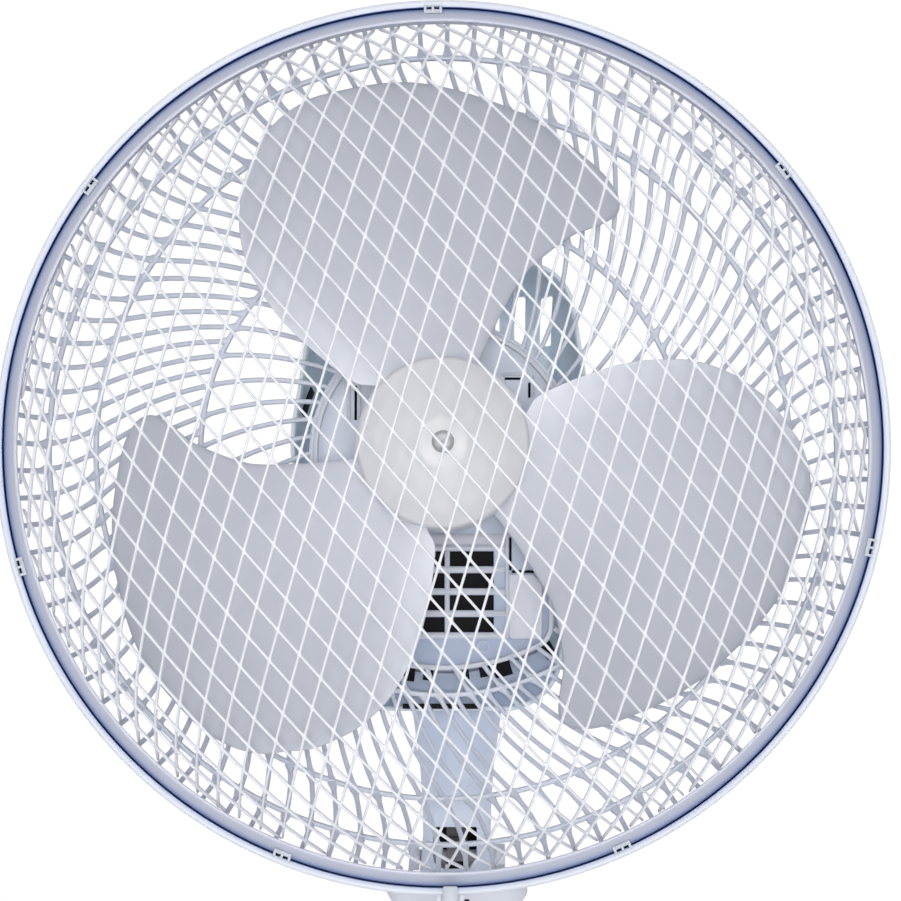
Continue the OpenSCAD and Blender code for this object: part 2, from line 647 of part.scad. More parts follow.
// Side outline of the box: half-widths at the bottom, middle and top
module box_outline(low, mid, top, w) polygon([for (side = [1, -1])
  let (p = [[low, w], [mid, 26], [mid, box_h - 40], [top, box_h - w]])
  for (k = side == 1 ? [0 : 3] : [3 : -1 : 0]) [side * (p[k].x - w), p[k].y]]);
module box_form(w) translate([0, 0, box_bottom]) intersection() {
  rotate([90, 0, 0]) linear_extrude(200, center = true)
    box_outline(30, box_w / 2, 29, w);
  rotate([90, 0, 90]) linear_extrude(200, center = true)
    box_outline(24, box_d / 2, 26, w);
}
button_w = 15;
button_h = 13;
button_pitch = 17;
button_z = box_bottom + 78;
window_h = 20;
bezel_w = 4 * button_pitch + 6;
split_y = -2;
face_y = -box_d / 2;
gland_z = box_bottom + 42;
inner_r = inner_tube_d / 2;
module box_shell() difference() {
  box_form(0);
  box_form(2.5);
  disc(inner_r + touch, 0, box_top - 30);
}
module at_box_screws() for (s = [-1, 1]) for (z = [box_bottom + 40, box_top - 44])
  translate([s * 26, 0, z]) rotate([-90, 0, 0]) children();
module control_box_front() color(white) difference() {
  union() {
    box_shell();
    at_box_screws() disc(5, face_y + 1, split_y);
  }
  at_box_screws() disc(2 + touch, face_y + 12, 40);
  translate([-100, split_y, 0]) cube([200, 200, 2000]);
  translate([-bezel_w / 2 + 2, -100, button_z - window_h / 2])
    cube([bezel_w - 4, 90, window_h]);
}
module control_box_rear() color(white) difference() {
  union() {
    box_shell();
    at_box_screws() disc(5, split_y, -face_y - 1);
  }
  at_box_screws() disc(2 + touch, -40, 40);
  at_box_screws() disc(3.6 + touch, 20, 40);
  translate([-100, split_y - 200 + touch, 0]) cube([200, 200, 2000]);
  translate([0, 10, gland_z]) rotate([-90, 0, 0]) cylinder(r = 6, h = 60);
}
module button_bezel() color(shade) difference() {
  translate([-bezel_w / 2, face_y - 2, button_z - window_h / 2 - 3])
    cube([bezel_w, 2 - touch, window_h + 6]);
  for (k = [-1.5 : 1 : 1.5])
    translate([k * button_pitch - button_w / 2 - 0.4, face_y - 10,
      button_z - button_h / 2 - 0.4]) cube([button_w + 0.8, 20, button_h + 0.8]);
}
module button(k) translate([(k - 1.5) * button_pitch, 0, button_z])
  translate([-button_w / 2, face_y - 8, -button_h / 2])
    cube([button_w, 15, button_h]);
module button_off() color(shade) button(0);
module button_low() color(white) button(1);
module button_medium() color(white) button(2);
module button_high() color(white) button(3);
module speed_switch() color(dark)
  translate([-bezel_w / 2 + 4, face_y + 7 + button_travel + 0.5, button_z - 11])
    cube([bezel_w - 8, 8, 22]);
module cord_gland() color(white) translate([0, 0, gland_z])
  rotate([-90, 0, 0]) difference() {
    union() {
      disc(6 - touch, -face_y - 6, -face_y + 1);
      disc(9, -face_y + touch, -face_y + 3);
      disc(7, -face_y + 3, -face_y + 7);
    }
    disc(3.5, 0, 60);
  }
module inner_tube() color(steel)
  ring(inner_r - 1, inner_r, box_bottom - 300, box_top - 32);
module tube_socket() color(dark) difference() {
  disc(inner_r + 2, box_bottom + 8, box_top - 31);
  disc(inner_r + touch, 0, box_top - 32 + touch);
}
outer_r = outer_tube_d / 2;
outer_in_r = outer_r - 1.2;
module tube_bush() color(dark) difference() {
  union() {
    ring(inner_r + touch, outer_in_r - 0.08, box_bottom - 300, box_bottom - 276);
    disc(outer_in_r - 0.08, box_bottom - 303, box_bottom - 300 - touch);
  }
  disc(4, 0, box_bottom);
}
module box_screws() color(steel) at_box_screws() {
  disc(2, face_y + 13, 20);
  disc(3.6, 20 + touch, 23);
}

// ------------------------------------------------------------------ stand
tube_end = collar_top - 30;
module outer_tube() color(white) ring(outer_in_r, outer_r, leg_top + 4, tube_end);
module clamp_collar() color(white) difference() {
  union() {
    disc(outer_r + 5, collar_top - collar_h, collar_top - 4);
    disc(outer_r + 2, collar_top - 4, collar_top);
    translate([0, 0, collar_top - 16]) rotate([0, 90, 0]) disc(8, 10, outer_r + 12);
  }
  disc(outer_r + touch, 0, tube_end + touch);
  disc(inner_r + 0.08, 0, 2000);
  translate([0, 0, collar_top - 16]) rotate([0, 90, 0]) disc(3 + fit, 0, 60);
}
knob_z = collar_top - 16;
knob_x = outer_r + 13;
module clamp_screw() color(steel) translate([0, 0, knob_z])
  rotate([0, 90, 0]) disc(3, inner_r + 0.3, knob_x + 10);
module clamp_knob() color(white) translate([0, 0, knob_z]) rotate([0, 90, 0])
  difference() {
    union() {
      disc(9, knob_x, knob_x + 6);
      disc(16, knob_x + 6, knob_x + 20);
    }
    disc(3 + touch, 0, knob_x + 10 + touch);
    for (a = [0 : 30 : 330]) rotate([0, 0, a]) translate([18, 0, 0])
      disc(3.4, knob_x + 5, knob_x + 21);
  }
module leg_form(w, l) rotate([90, 0, 0]) translate([0, 0, -l / 2])
  linear_extrude(l) {
    translate([-leg_w / 2 + w, leg_z + w]) square([leg_w - 2 * w, leg_h / 2 - w]);
    intersection() {
      translate([0, leg_z + leg_h / 2]) union() {
        for (s = [-1, 1]) translate([s * (leg_w / 2 - leg_h / 2), 0])
          circle(r = leg_h / 2 - w);
        translate([-leg_w / 2 + leg_h / 2, -leg_h / 2 + w])
          square([leg_w - leg_h, leg_h - 2 * w]);
      }
      translate([-leg_w, leg_z + leg_h / 2 - 0.01]) square([2 * leg_w, leg_h]);
    }
  }
leg_wall = 1.4;
half = leg_z + leg_h / 2;
module leg_blank() difference() {
  leg_form(0, leg_l);
  leg_form(leg_wall, leg_l + 2);
}
leg_slot = leg_w + 0.4;
base_screw_r = 2;
module at_base_screws() for (a = [0 : 90 : 270]) rotate([0, 0, a])
  translate([25, 0, 0]) children();
module leg_lower() color(white) difference() {
  rotate([0, 0, 45]) difference() {
    leg_blank();
    translate([-leg_w, -leg_slot / 2, half - touch / 2])
      cube([2 * leg_w, leg_slot, leg_h]);
  }
  at_base_screws() disc(base_screw_r + 0.2, 0, 60);
}
module leg_upper() color(white) difference() {
  rotate([0, 0, -45]) difference() {
    leg_blank();
    translate([-leg_w, -leg_slot / 2, half + touch / 2 - leg_h])
      cube([2 * leg_w, leg_slot, leg_h]);
  }
  at_base_screws() disc(base_screw_r + 0.2, 0, 60);
}
cap_l = 34;
module leg_caps() color(shade) for (a = [45 : 90 : 315]) rotate([0, 0, a])
  translate([0, -leg_l / 2, 0]) {
    leg_tip();
    translate([-leg_w / 2 - 1, -4, 3]) cube([leg_w + 2, cap_l + 4, 3 - touch]);
  }
module leg_tip() translate([0, -2 - touch, 0]) leg_form(-1, 4);
module foot_pads() color(dark) for (a = [45 : 90 : 315]) rotate([0, 0, a])
  translate([-15, -leg_l / 2 + 2, 0]) cube([30, 24, 3 - touch]);
module pole_flange() color(steel) difference() {
  union() {
    disc(40, leg_top + touch, leg_top + 4 - touch);
    disc(outer_in_r - touch, leg_top + touch, leg_top + 60);
  }
  disc(outer_in_r - 3, leg_top - 1, leg_top + 61);
  at_base_screws() disc(base_screw_r + touch, 0, 60);
}
module base_cover() color(white) difference() {
  rotate_extrude() polygon([
    [outer_r + 0.3, leg_top + 30], [outer_r + 8, leg_top + 28],
    [outer_r + 22, leg_top + 18], [52, leg_top + 10], [62, leg_top + 5],
    [62, leg_top + touch], [60, leg_top + touch], [60, leg_top + 4],
    [51, leg_top + 8], [outer_r + 21, leg_top + 15.5],
    [outer_r + 7, leg_top + 25.5], [outer_r + 0.3, leg_top + 27.5]]);
}
module base_screws() color(steel) at_base_screws() {
  disc(4, leg_z - 2, leg_z - touch);
  disc(base_screw_r, leg_z - 1, leg_top + 4);
}

leg_lower();
leg_upper();
leg_caps();
foot_pads();
pole_flange();
base_cover();
base_screws();
outer_tube();
clamp_collar();
clamp_screw();
clamp_knob();
inner_tube();
tube_bush();
tube_socket();
control_box_front();
control_box_rear();
button_bezel();
speed_switch();
cord_gland();
box_screws();
tilt_bracket();
button_off();
button_low();
button_medium();
button_high();
neck();
tilt_bolt();
tilt_nut();
swivel_post();
link_pin();
link_arm();
gearbox_case();
motor_front_bell();
motor_rear_bell();
shaft_bearings();
stator_core();
stator_windings();
capacitor();
motor_cover();
cover_screw();
rear_plate();
rear_ribs();
rear_rim();
grille_nut();
front_rim();
front_net();
rim_clips();
latch_pin();
latch();
shaft();
rotor_core();
worm();
blade_set();
spinner();
spinner_nut();
shaft_pin();
worm_wheel();
clutch_rod();
osc_knob();
crank();
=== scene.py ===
"""Pedestal fan: the looks of every piece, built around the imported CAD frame.

Pieces of the head are drawn in millimetres in head coordinates: x to the right
and y up from the blade axis, f forward from the pole axis.  Pieces of the stand
are drawn in millimetres in the frame's own directions."""
import json
import math

import bmesh
import bpy
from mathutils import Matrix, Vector


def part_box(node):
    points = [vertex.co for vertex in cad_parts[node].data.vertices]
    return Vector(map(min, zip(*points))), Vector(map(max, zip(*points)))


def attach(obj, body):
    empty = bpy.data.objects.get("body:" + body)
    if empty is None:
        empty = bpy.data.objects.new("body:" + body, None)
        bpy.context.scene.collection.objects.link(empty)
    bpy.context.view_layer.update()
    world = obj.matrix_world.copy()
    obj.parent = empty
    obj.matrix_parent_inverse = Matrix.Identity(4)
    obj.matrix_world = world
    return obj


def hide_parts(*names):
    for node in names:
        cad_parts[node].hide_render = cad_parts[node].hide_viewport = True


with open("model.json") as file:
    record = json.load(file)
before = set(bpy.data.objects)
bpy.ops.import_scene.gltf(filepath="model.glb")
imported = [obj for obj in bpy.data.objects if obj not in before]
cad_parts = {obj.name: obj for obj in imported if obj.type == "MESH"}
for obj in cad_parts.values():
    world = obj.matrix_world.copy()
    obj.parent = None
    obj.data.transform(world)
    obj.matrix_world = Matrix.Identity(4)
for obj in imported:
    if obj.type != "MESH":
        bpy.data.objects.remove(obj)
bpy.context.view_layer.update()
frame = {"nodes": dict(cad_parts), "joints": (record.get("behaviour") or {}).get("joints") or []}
CAD = frame["nodes"]
MM = 0.001
AXIS = Vector(next(j for j in frame["joints"] if j["name"] == "rotor_spin")["pos_m"])
RING_F = -sum(c.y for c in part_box("rim_clips")) / 2 / MM - 6    # ring plane
RING_R = 220.0
POLE_X = -AXIS.x / MM


# ------------------------------------------------------------------ points
def head(x, y, f):
    """Head coordinates in millimetres to metres in the frame."""
    return Vector((AXIS.x + x * MM, -f * MM, AXIS.z + y * MM))


def head_box(node):
    """Low and high corner of a CAD node in head coordinates."""
    lo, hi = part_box(node)
    return (((lo.x - AXIS.x) / MM, (lo.z - AXIS.z) / MM, -hi.y / MM),
            ((hi.x - AXIS.x) / MM, (hi.z - AXIS.z) / MM, -lo.y / MM))


def pole(x, y, z):
    """Stand coordinates in millimetres to metres in the frame."""
    return Vector((x * MM, y * MM, z * MM))


def front(x, z, f):
    """Stand coordinates as seen from the front: across, height and forward."""
    return Vector((x * MM, -f * MM, z * MM))


def smooth_curve(points, steps):
    """Catmull-Rom curve through the points, with steps points to a span."""
    padded = [points[0]] + list(points) + [points[-1]]
    out = []
    for a, b, c, d in zip(padded, padded[1:], padded[2:], padded[3:]):
        for k in range(steps):
            t = k / steps
            out.append(tuple(
                0.5 * (2 * q + (r - p) * t + (2 * p - 5 * q + 4 * r - s) * t * t
                       + (3 * q - p - 3 * r + s) * t ** 3)
                for p, q, r, s in zip(a, b, c, d)))
    out.append(tuple(points[-1]))
    return out


def lookup(x, table):
    """Straight-line interpolation in a rising table of (x, y)."""
    if x <= table[0][0]:
        return table[0][1]
    for (x0, y0), (x1, y1) in zip(table, table[1:]):
        if x <= x1:
            return y0 + (y1 - y0) * (x - x0) / (x1 - x0)
    return table[-1][1]


def rounded(outline, radius, steps):
    """Closed 2-D outline with each corner replaced by an arc-like curve."""
    count = len(outline)
    radii = radius if isinstance(radius, list) else [radius] * count
    out = []
    for k in range(count):
        p = Vector(outline[k])
        a = Vector(outline[k - 1]) - p
        b = Vector(outline[(k + 1) % count]) - p
        reach = min(radii[k], a.length * 0.48, b.length * 0.48)
        if reach < 0.01:
            out.append(tuple(p))
            continue
        start = p + a.normalized() * reach
        end = p + b.normalized() * reach
        for i in range(steps + 1):
            t = i / steps
            out.append(tuple(start * (1 - t) ** 2 + p * 2 * t * (1 - t) + end * t * t))
    return out


def polar(r, a):
    """The point (x, y) at radius r and a degrees."""
    return r * math.cos(math.radians(a)), r * math.sin(math.radians(a))


def arc(x, y, r, a0, a1, steps):
    """Points of an arc about (x, y), angles in degrees."""
    spots = [polar(r, a0 + (a1 - a0) * k / steps) for k in range(steps + 1)]
    return [(x + u, y + v) for u, v in spots]


def rectangle(x0, y0, x1, y1):
    return [(x0, y0), (x1, y0), (x1, y1), (x0, y1)]


# ------------------------------------------------------------------ meshes
def new_object(name, verts, faces, place=head):
    """Mesh object from points, which place turns into metres."""
    mesh = bpy.data.meshes.new(name)
    mesh.from_pydata([place(*v) for v in verts], [], faces)
    bm = bmesh.new()
    bm.from_mesh(mesh)
    bmesh.ops.remove_doubles(bm, verts=bm.verts, dist=1e-6)
    bmesh.ops.recalc_face_normals(bm, faces=bm.faces)
    bm.to_mesh(mesh)
    bm.free()
    obj = bpy.data.objects.new(name, mesh)
    bpy.context.scene.collection.objects.link(obj)
    return obj


def loft(rings, closed_path=False):
    """Faces between rings of points that all have the same count, and end caps."""
    verts = [p for ring in rings for p in ring]
    n = len(rings[0])
    faces = []
    for j in range(len(rings) if closed_path else len(rings) - 1):
        a, b = j * n, ((j + 1) % len(rings)) * n
        for k in range(n):
            m = (k + 1) % n
            faces.append((a + k, a + m, b + m, b + k))
    if not closed_path:
        faces.append(tuple(range(n)))
        faces.append(tuple(range(len(verts) - n, len(verts))))
    return verts, faces


def merge(parts):
    """One (verts, faces) from several."""
    verts, faces = [], []
    for v, f in parts:
        base = len(verts)
        verts += v
        faces += [tuple(i + base for i in face) for face in f]
    return verts, faces


def moved(part, turn=0.0, x=0.0, y=0.0):
    """A (verts, faces) turned by degrees about the axis along f, then shifted."""
    verts, faces = part
    c, s = polar(1, turn)
    return [(px * c - py * s + x, px * s + py * c + y, f) for px, py, f in verts], faces


def lathe(profile, steps, start=0.0, sweep=360.0):
    """A closed profile of (r, f) turned about the axis by sweep degrees."""
    whole = sweep == 360.0
    rings = []
    for k in range(steps if whole else steps + 1):
        a = start + sweep * k / steps
        rings.append([(*polar(r, a), f) for r, f in profile])
    return loft(rings, closed_path=whole)


def block(x0, y0, f0, x1, y1, f1, edge):
    """A box with its long edges rounded."""
    outline = rounded(rectangle(x0, y0, x1, y1), edge, 3)
    mid = ((x0 + x1) / 2, (y0 + y1) / 2)

    def layer(f, inset):
        return [(mid[0] + (x - mid[0]) * (1 - inset / max(abs(x0 - mid[0]), 1)),
                 mid[1] + (y - mid[1]) * (1 - inset / max(abs(y0 - mid[1]), 1)), f)
                for x, y in outline]

    return loft([layer(f0, edge * 0.7), layer(f0 + edge * 0.5, 0),
                 layer(f1 - edge * 0.5, 0), layer(f1, edge * 0.7)])


def rod(p0, p1, r, steps=32):
    """A round bar between two points."""
    start, end = Vector(p0), Vector(p1)
    along = (end - start).normalized()
    side = along.orthogonal().normalized()
    up = along.cross(side)
    spots = [polar(r, 360 * k / steps) for k in range(steps)]
    return loft([[tuple(centre + u * side + v * up) for u, v in spots]
                 for centre in (start, end)])


def plate(outlines, f0, f1, edge):
    """A flat plate with holes: closed outlines, extruded, with rounded edges."""
    curve = bpy.data.curves.new("outline", "CURVE")
    curve.dimensions = "2D"
    curve.fill_mode = "BOTH"
    curve.extrude = max((f1 - f0) / 2 - edge, 0.01)
    curve.bevel_depth = edge
    curve.bevel_resolution = 2
    curve.offset = -edge
    for outline in outlines:
        spline = curve.splines.new("POLY")
        spline.points.add(len(outline) - 1)
        for point, (x, y) in zip(spline.points, outline):
            point.co = (x, y, 0, 1)
        spline.use_cyclic_u = True
    temp = bpy.data.objects.new("outline", curve)
    bpy.context.scene.collection.objects.link(temp)
    bpy.context.view_layer.update()
    solid = temp.evaluated_get(bpy.context.evaluated_depsgraph_get()).to_mesh()
    verts = [(v.co.x, v.co.y, v.co.z + (f0 + f1) / 2) for v in solid.vertices]
    faces = [tuple(p.vertices) for p in solid.polygons]
    temp.to_mesh_clear()
    bpy.data.objects.remove(temp)
    bpy.data.curves.remove(curve)
    return verts, faces


def break_edges(obj, width, angle):
    """Rounds each edge that is sharper than angle, by width millimetres."""
    mod = obj.modifiers.new("edges", "BEVEL")
    mod.width = width * MM
    mod.segments = 2
    mod.limit_method = "ANGLE"
    mod.angle_limit = math.radians(angle)


def cut(obj, cutters, place=head):
    """Takes the cutters' shapes out of obj, for good."""
    tool = new_object(obj.name + "_tool", *merge(cutters), place)
    mod = obj.modifiers.new("cut", "BOOLEAN")
    mod.operation = "DIFFERENCE"
    mod.solver = "EXACT"
    mod.use_self = True
    mod.object = tool
    bpy.context.view_layer.update()
    graph = bpy.context.evaluated_depsgraph_get()
    result = bpy.data.meshes.new_from_object(obj.evaluated_get(graph))
    obj.modifiers.clear()
    obj.data = result
    bpy.data.objects.remove(tool)


def piece(name, data, body, mat, replaces=(), place=head, bevel=0.0,
          levels=0, angle=35):
    """A finished piece: mesh, material, body and the CAD it stands for."""
    obj = data if isinstance(data, bpy.types.Object) else new_object(name, *data, place)
    for polygon in obj.data.polygons:
        polygon.use_smooth = True
    obj.data.set_sharp_from_angle(angle=math.radians(angle))
    obj.data.materials.clear()
    obj.data.materials.append(mat)
    if bevel:
        break_edges(obj, bevel, 35)
    if levels:
        mod = obj.modifiers.new("round", "SUBSURF")
        mod.levels = levels
        mod.render_levels = levels
    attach(obj, body)
    if replaces:
        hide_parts(*replaces)


# --------------------------------------------------------------- materials
def add_node(tree, kind, **values):
    """A shader node with some of its inputs set."""
    node = tree.nodes.new("ShaderNode" + kind)
    for socket, value in values.items():
        node.inputs[socket.replace("_", " ")].default_value = value
    return node


def material(name, colour, roughness, bump=0.0, scale=900.0, mottle=0.03,
             metallic=0.0, specular=0.5, glow=0.0, stretch=(1, 1, 1)):
    """Moulded or painted surface: fine grain, slight colour and gloss variation."""
    mat = bpy.data.materials.new(name)
    mat.use_nodes = True
    tree, link = mat.node_tree, mat.node_tree.links.new
    shader = tree.nodes["Principled BSDF"]
    shader.inputs["Metallic"].default_value = metallic
    shader.inputs["Specular IOR Level"].default_value = specular
    if glow:
        # Light soaks through thin walls
        shader.inputs["Subsurface Weight"].default_value = glow
        shader.inputs["Subsurface Radius"].default_value = (0.010, 0.0105, 0.0115)
        shader.inputs["Subsurface Scale"].default_value = 1.0
    place = add_node(tree, "TexCoord")
    mapping = add_node(tree, "Mapping", Scale=stretch)
    link(place.outputs["Object"], mapping.inputs["Vector"])
    cloud = add_node(tree, "TexNoise", Scale=22.0, Detail=4.0)
    link(mapping.outputs["Vector"], cloud.inputs["Vector"])
    tint = add_node(tree, "ValToRGB")
    low, high = tint.color_ramp.elements
    low.position, high.position = 0.3, 0.7
    low.color = (*(max(c - mottle, 0) for c in colour), 1)
    high.color = (*(min(c + mottle, 1) for c in colour), 1)
    link(cloud.outputs["Fac"], tint.inputs["Fac"])
    link(tint.outputs["Color"], shader.inputs["Base Color"])
    gloss = add_node(tree, "MapRange", To_Min=roughness - 0.04, To_Max=roughness + 0.06)
    link(cloud.outputs["Fac"], gloss.inputs["Value"])
    link(gloss.outputs["Result"], shader.inputs["Roughness"])
    if bump:
        grain = add_node(tree, "TexNoise", Scale=scale, Detail=2.0)
        link(mapping.outputs["Vector"], grain.inputs["Vector"])
        relief = add_node(tree, "Bump", Strength=bump, Distance=0.0002)
        link(grain.outputs["Fac"], relief.inputs["Height"])
        link(relief.outputs["Normal"], shader.inputs["Normal"])
    return mat


def radial_tint(mat, stops):
    """Colours a material by distance from the blade axis, in millimetres."""
    tree, link = mat.node_tree, mat.node_tree.links.new
    vector = add_node(tree, "TexCoord").outputs["Object"]
    # The offset from the axis, without the depth along it
    for operation, operand in (("SUBTRACT", (AXIS.x, 0, AXIS.z)), ("MULTIPLY", (1, 0, 1))):
        step = add_node(tree, "VectorMath")
        step.operation = operation
        step.inputs[1].default_value = operand
        link(vector, step.inputs[0])
        vector = step.outputs["Vector"]
    reach = add_node(tree, "VectorMath")
    reach.operation = "LENGTH"
    link(vector, reach.inputs[0])
    lo, hi = stops[0][0], stops[-1][0]
    spread = add_node(tree, "MapRange", From_Min=lo * MM, From_Max=hi * MM)
    link(reach.outputs["Value"], spread.inputs["Value"])
    ramp = add_node(tree, "ValToRGB")
    points = ramp.color_ramp.elements
    while len(points) < len(stops):
        points.new(0.5)
    for point, (r, _) in zip(points, stops):
        point.position = (r - lo) / (hi - lo)
    for point, (_, colour) in zip(points, stops):
        point.color = (*colour, 1)
    link(spread.outputs["Result"], ramp.inputs["Fac"])
    link(ramp.outputs["Color"], tree.nodes["Principled BSDF"].inputs["Base Color"])
    return mat


WHITE = material("grille_white_plastic", (0.64, 0.65, 0.69), 0.34, bump=0.05)
# The net's white turns darker by radius towards the rim: painted shade on the steep outer dome.
NET = radial_tint(
    material("net_plastic", (0.64, 0.65, 0.69), 0.34, bump=0.05),
    [(100, (0.64, 0.65, 0.69)), (190, (0.65, 0.66, 0.70)), (203, (0.60, 0.61, 0.66)),
     (208, (0.44, 0.45, 0.51))])
# A darker, bluish copy of the white plastic: painted shade inside the rear bowl.
RIB = material("bowl_plastic", (0.56, 0.59, 0.67), 0.38, bump=0.05)
CASE = material("case_plastic", (0.56, 0.58, 0.64), 0.42, bump=0.15, scale=1800)
# A darker, bluish copy of the case plastic: painted shade for the pieces dressed in it.
SHADE = material("case_plastic_painted_shade", (0.58, 0.63, 0.74), 0.45, bump=0.15, scale=1800)
# The cover is white plastic: its strong blue base is painted blue shade for its shaded inside,
# and light also soaks through its thin wall.
COVER = material("cover_plastic", (0.64, 0.75, 0.99), 0.48, bump=0.2, scale=1600, glow=1.0)
# A darker blue copy of the cover plastic: painted shade on the lip and shelf at the foot of the
# cover's mouth.
LIP = material("cover_lip_plastic", (0.34, 0.40, 0.53), 0.48, bump=0.2, scale=1600)
LATCH = material("latch_plastic", (0.43, 0.455, 0.51), 0.42, bump=0.1)
MILKY = material("milky_plastic", (0.54, 0.54, 0.56), 0.36, bump=0.04, mottle=0.02)
TUBE = material("powder_coat", (0.80, 0.81, 0.84), 0.3, bump=0.25, scale=700)
CHROME = material("chrome_plate", (0.75, 0.76, 0.78), 0.1, metallic=1.0)
STEEL = material("zinc_steel", (0.60, 0.61, 0.63), 0.32, bump=0.2, scale=500,
                 metallic=1.0, stretch=(1, 1, 12))
CAST = material("cast_alloy", (0.55, 0.56, 0.58), 0.5, bump=0.6, scale=500, metallic=0.9)
BRONZE = material("sintered_bronze", (0.50, 0.38, 0.20), 0.45, bump=0.4, metallic=1.0)
COPPER = material("enamelled_wire", (0.60, 0.24, 0.10), 0.3, bump=0.9, scale=300,
                  metallic=0.8, stretch=(1, 8, 1))
# Dark grey: painted shade on the bracket's tongue and on a patch inside the neck, both seen
# through the neck's window.
GREY_SHADE = material("grey_painted_shade", (0.19, 0.19, 0.20), 0.6, bump=0.6, scale=500, metallic=0.3)
NUT = material("satin_nut", (0.42, 0.42, 0.43), 0.5, bump=0.1, metallic=0.2)
# Black plastic for real black parts; also the painted shade of dark sheets set behind slots, in
# recesses and inside the neck.
DARK = material("black_plastic_and_painted_shade", (0.012, 0.012, 0.014), 0.75, bump=0.3, mottle=0.004,
                specular=0.1)
NYLON = material("natural_nylon", (0.75, 0.72, 0.62), 0.4, bump=0.1)
RUBBER = material("foot_rubber", (0.035, 0.035, 0.04), 0.75, bump=0.6, scale=500,
                  mottle=0.01)
# Rim colour by radius: painted shade on the band, darkening into a navy painted shadow in the
# groove, and on the lip, which turns paler outwards.
GROOVE_SHADE = (0.02, 0.05, 0.20)
RIM = radial_tint(
    material("rim_plastic", (0.6, 0.65, 0.8), 0.35),
    [(204, (0.47, 0.48, 0.55)), (211.9, (0.44, 0.46, 0.55)), (213.4, (0.39, 0.42, 0.53)),
     (214.4, (0.31, 0.36, 0.53)), (215.2, (0.22, 0.28, 0.47)), (215.6, (0.12, 0.17, 0.36)),
     (215.85, GROOVE_SHADE), (216.25, GROOVE_SHADE), (216.6, (0.37, 0.41, 0.53)),
     (218.2, (0.43, 0.46, 0.53)), (219.9, (0.58, 0.60, 0.65))])


def paler_where_marked(name, colour, pale, roughness):
    """Plastic that turns paler where the points of the mesh are marked pale."""
    mat = material(name, colour, roughness, bump=0.05, mottle=0.01)
    tree, link = mat.node_tree, mat.node_tree.links.new
    target = tree.nodes["Principled BSDF"].inputs["Base Color"]
    base = target.links[0].from_socket
    mark = add_node(tree, "Attribute")
    mark.attribute_name = "pale"
    blend = add_node(tree, "Mix")
    blend.data_type = "RGBA"
    blend.inputs["B"].default_value = (*pale, 1)
    link(mark.outputs["Fac"], blend.inputs["Factor"])
    link(base, blend.inputs["A"])
    link(blend.outputs["Result"], target)
    return mat


def mark_pale(obj, amount):
    """Marks each point of the mesh with amount(x, y), in head millimetres."""
    mark = obj.data.attributes.new("pale", "FLOAT", "POINT")
    for vertex, value in zip(obj.data.vertices, mark.data):
        value.value = amount((vertex.co.x - AXIS.x) / MM, (vertex.co.z - AXIS.z) / MM)


# Paler marks on the blades: painted light along the thin trailing edge; the root is made paler
# as well.
BLADE = paler_where_marked("blade_plastic", (0.40, 0.42, 0.47), (0.68, 0.70, 0.75), 0.42)
# Painted light and shade: the centre plate is darker low down and paler towards its top.
PLATE = paler_where_marked("plate_plastic", (0.36, 0.42, 0.56), (0.62, 0.66, 0.75), 0.45)


# --------------------------------------------------------------- front net
DOME = smooth_curve([(0, 78), (44, 77.2), (74, 75.2), (103, 71.4), (133, 65.2),
                     (147, 60.8), (161, 55), (174, 47.4), (186.5, 38), (196, 27),
                     (204, 15), (208.8, 6)], 5)
NET_CELL = 15.24
NET_ANGLES = (73.7, 131.5)
NET_SHIFT = (0.77, -5.32)
STRAND_W = 1.45
STRAND_H = 2.2
# Corners of a patch along the two directions, and for each way out of a patch the
# two corners where its strand starts, the one away from the strand's normal first
PATCH_CORNERS = ((1, 1), (-1, 1), (-1, -1), (1, -1))
PATCH_SIDES = {(1, 0): (3, 0), (0, 1): (1, 0), (-1, 0): (2, 1), (0, -1): (2, 3)}


def dome_tables():
    """Radius and height of the dome against the distance along it."""
    s, radius, height = 0.0, [(0.0, 0.0)], [(0.0, DOME[0][1])]
    for (r0, f0), (r1, f1) in zip(DOME, DOME[1:]):
        s += math.hypot(r1 - r0, f1 - f0)
        radius.append((s, r1))
        height.append((s, f1))
    return s, radius, height


DOME_S, DOME_R, DOME_F = dome_tables()
DIRECTIONS = [Vector(polar(1, a)) for a in NET_ANGLES]


def on_dome(p, back):
    """A point of the flat lattice, laid on the dome, back millimetres behind it."""
    s = p.length
    if s < 1e-6:
        return (0.0, 0.0, RING_F + DOME_F[0][1] - back)
    r = lookup(s, DOME_R)
    slope = (lookup(s + 0.5, DOME_F) - lookup(s - 0.5, DOME_F),
             lookup(s + 0.5, DOME_R) - lookup(s - 0.5, DOME_R))
    lean = Vector(slope).normalized()
    r_in = r + lean.x * back
    return (r_in * p.x / s, r_in * p.y / s,
            RING_F + lookup(s, DOME_F) - lean.y * back)


def patch_centre(i, j):
    """Centre of a patch of the flat lattice."""
    return NET_CELL * (i * DIRECTIONS[0] + j * DIRECTIONS[1]) + Vector(NET_SHIFT)


def patch_side(base, step):
    """Indices of the four points where the strand in direction step meets a patch."""
    low, high = PATCH_SIDES[step]
    return [base + low, base + high, base + high + 4, base + low + 4]


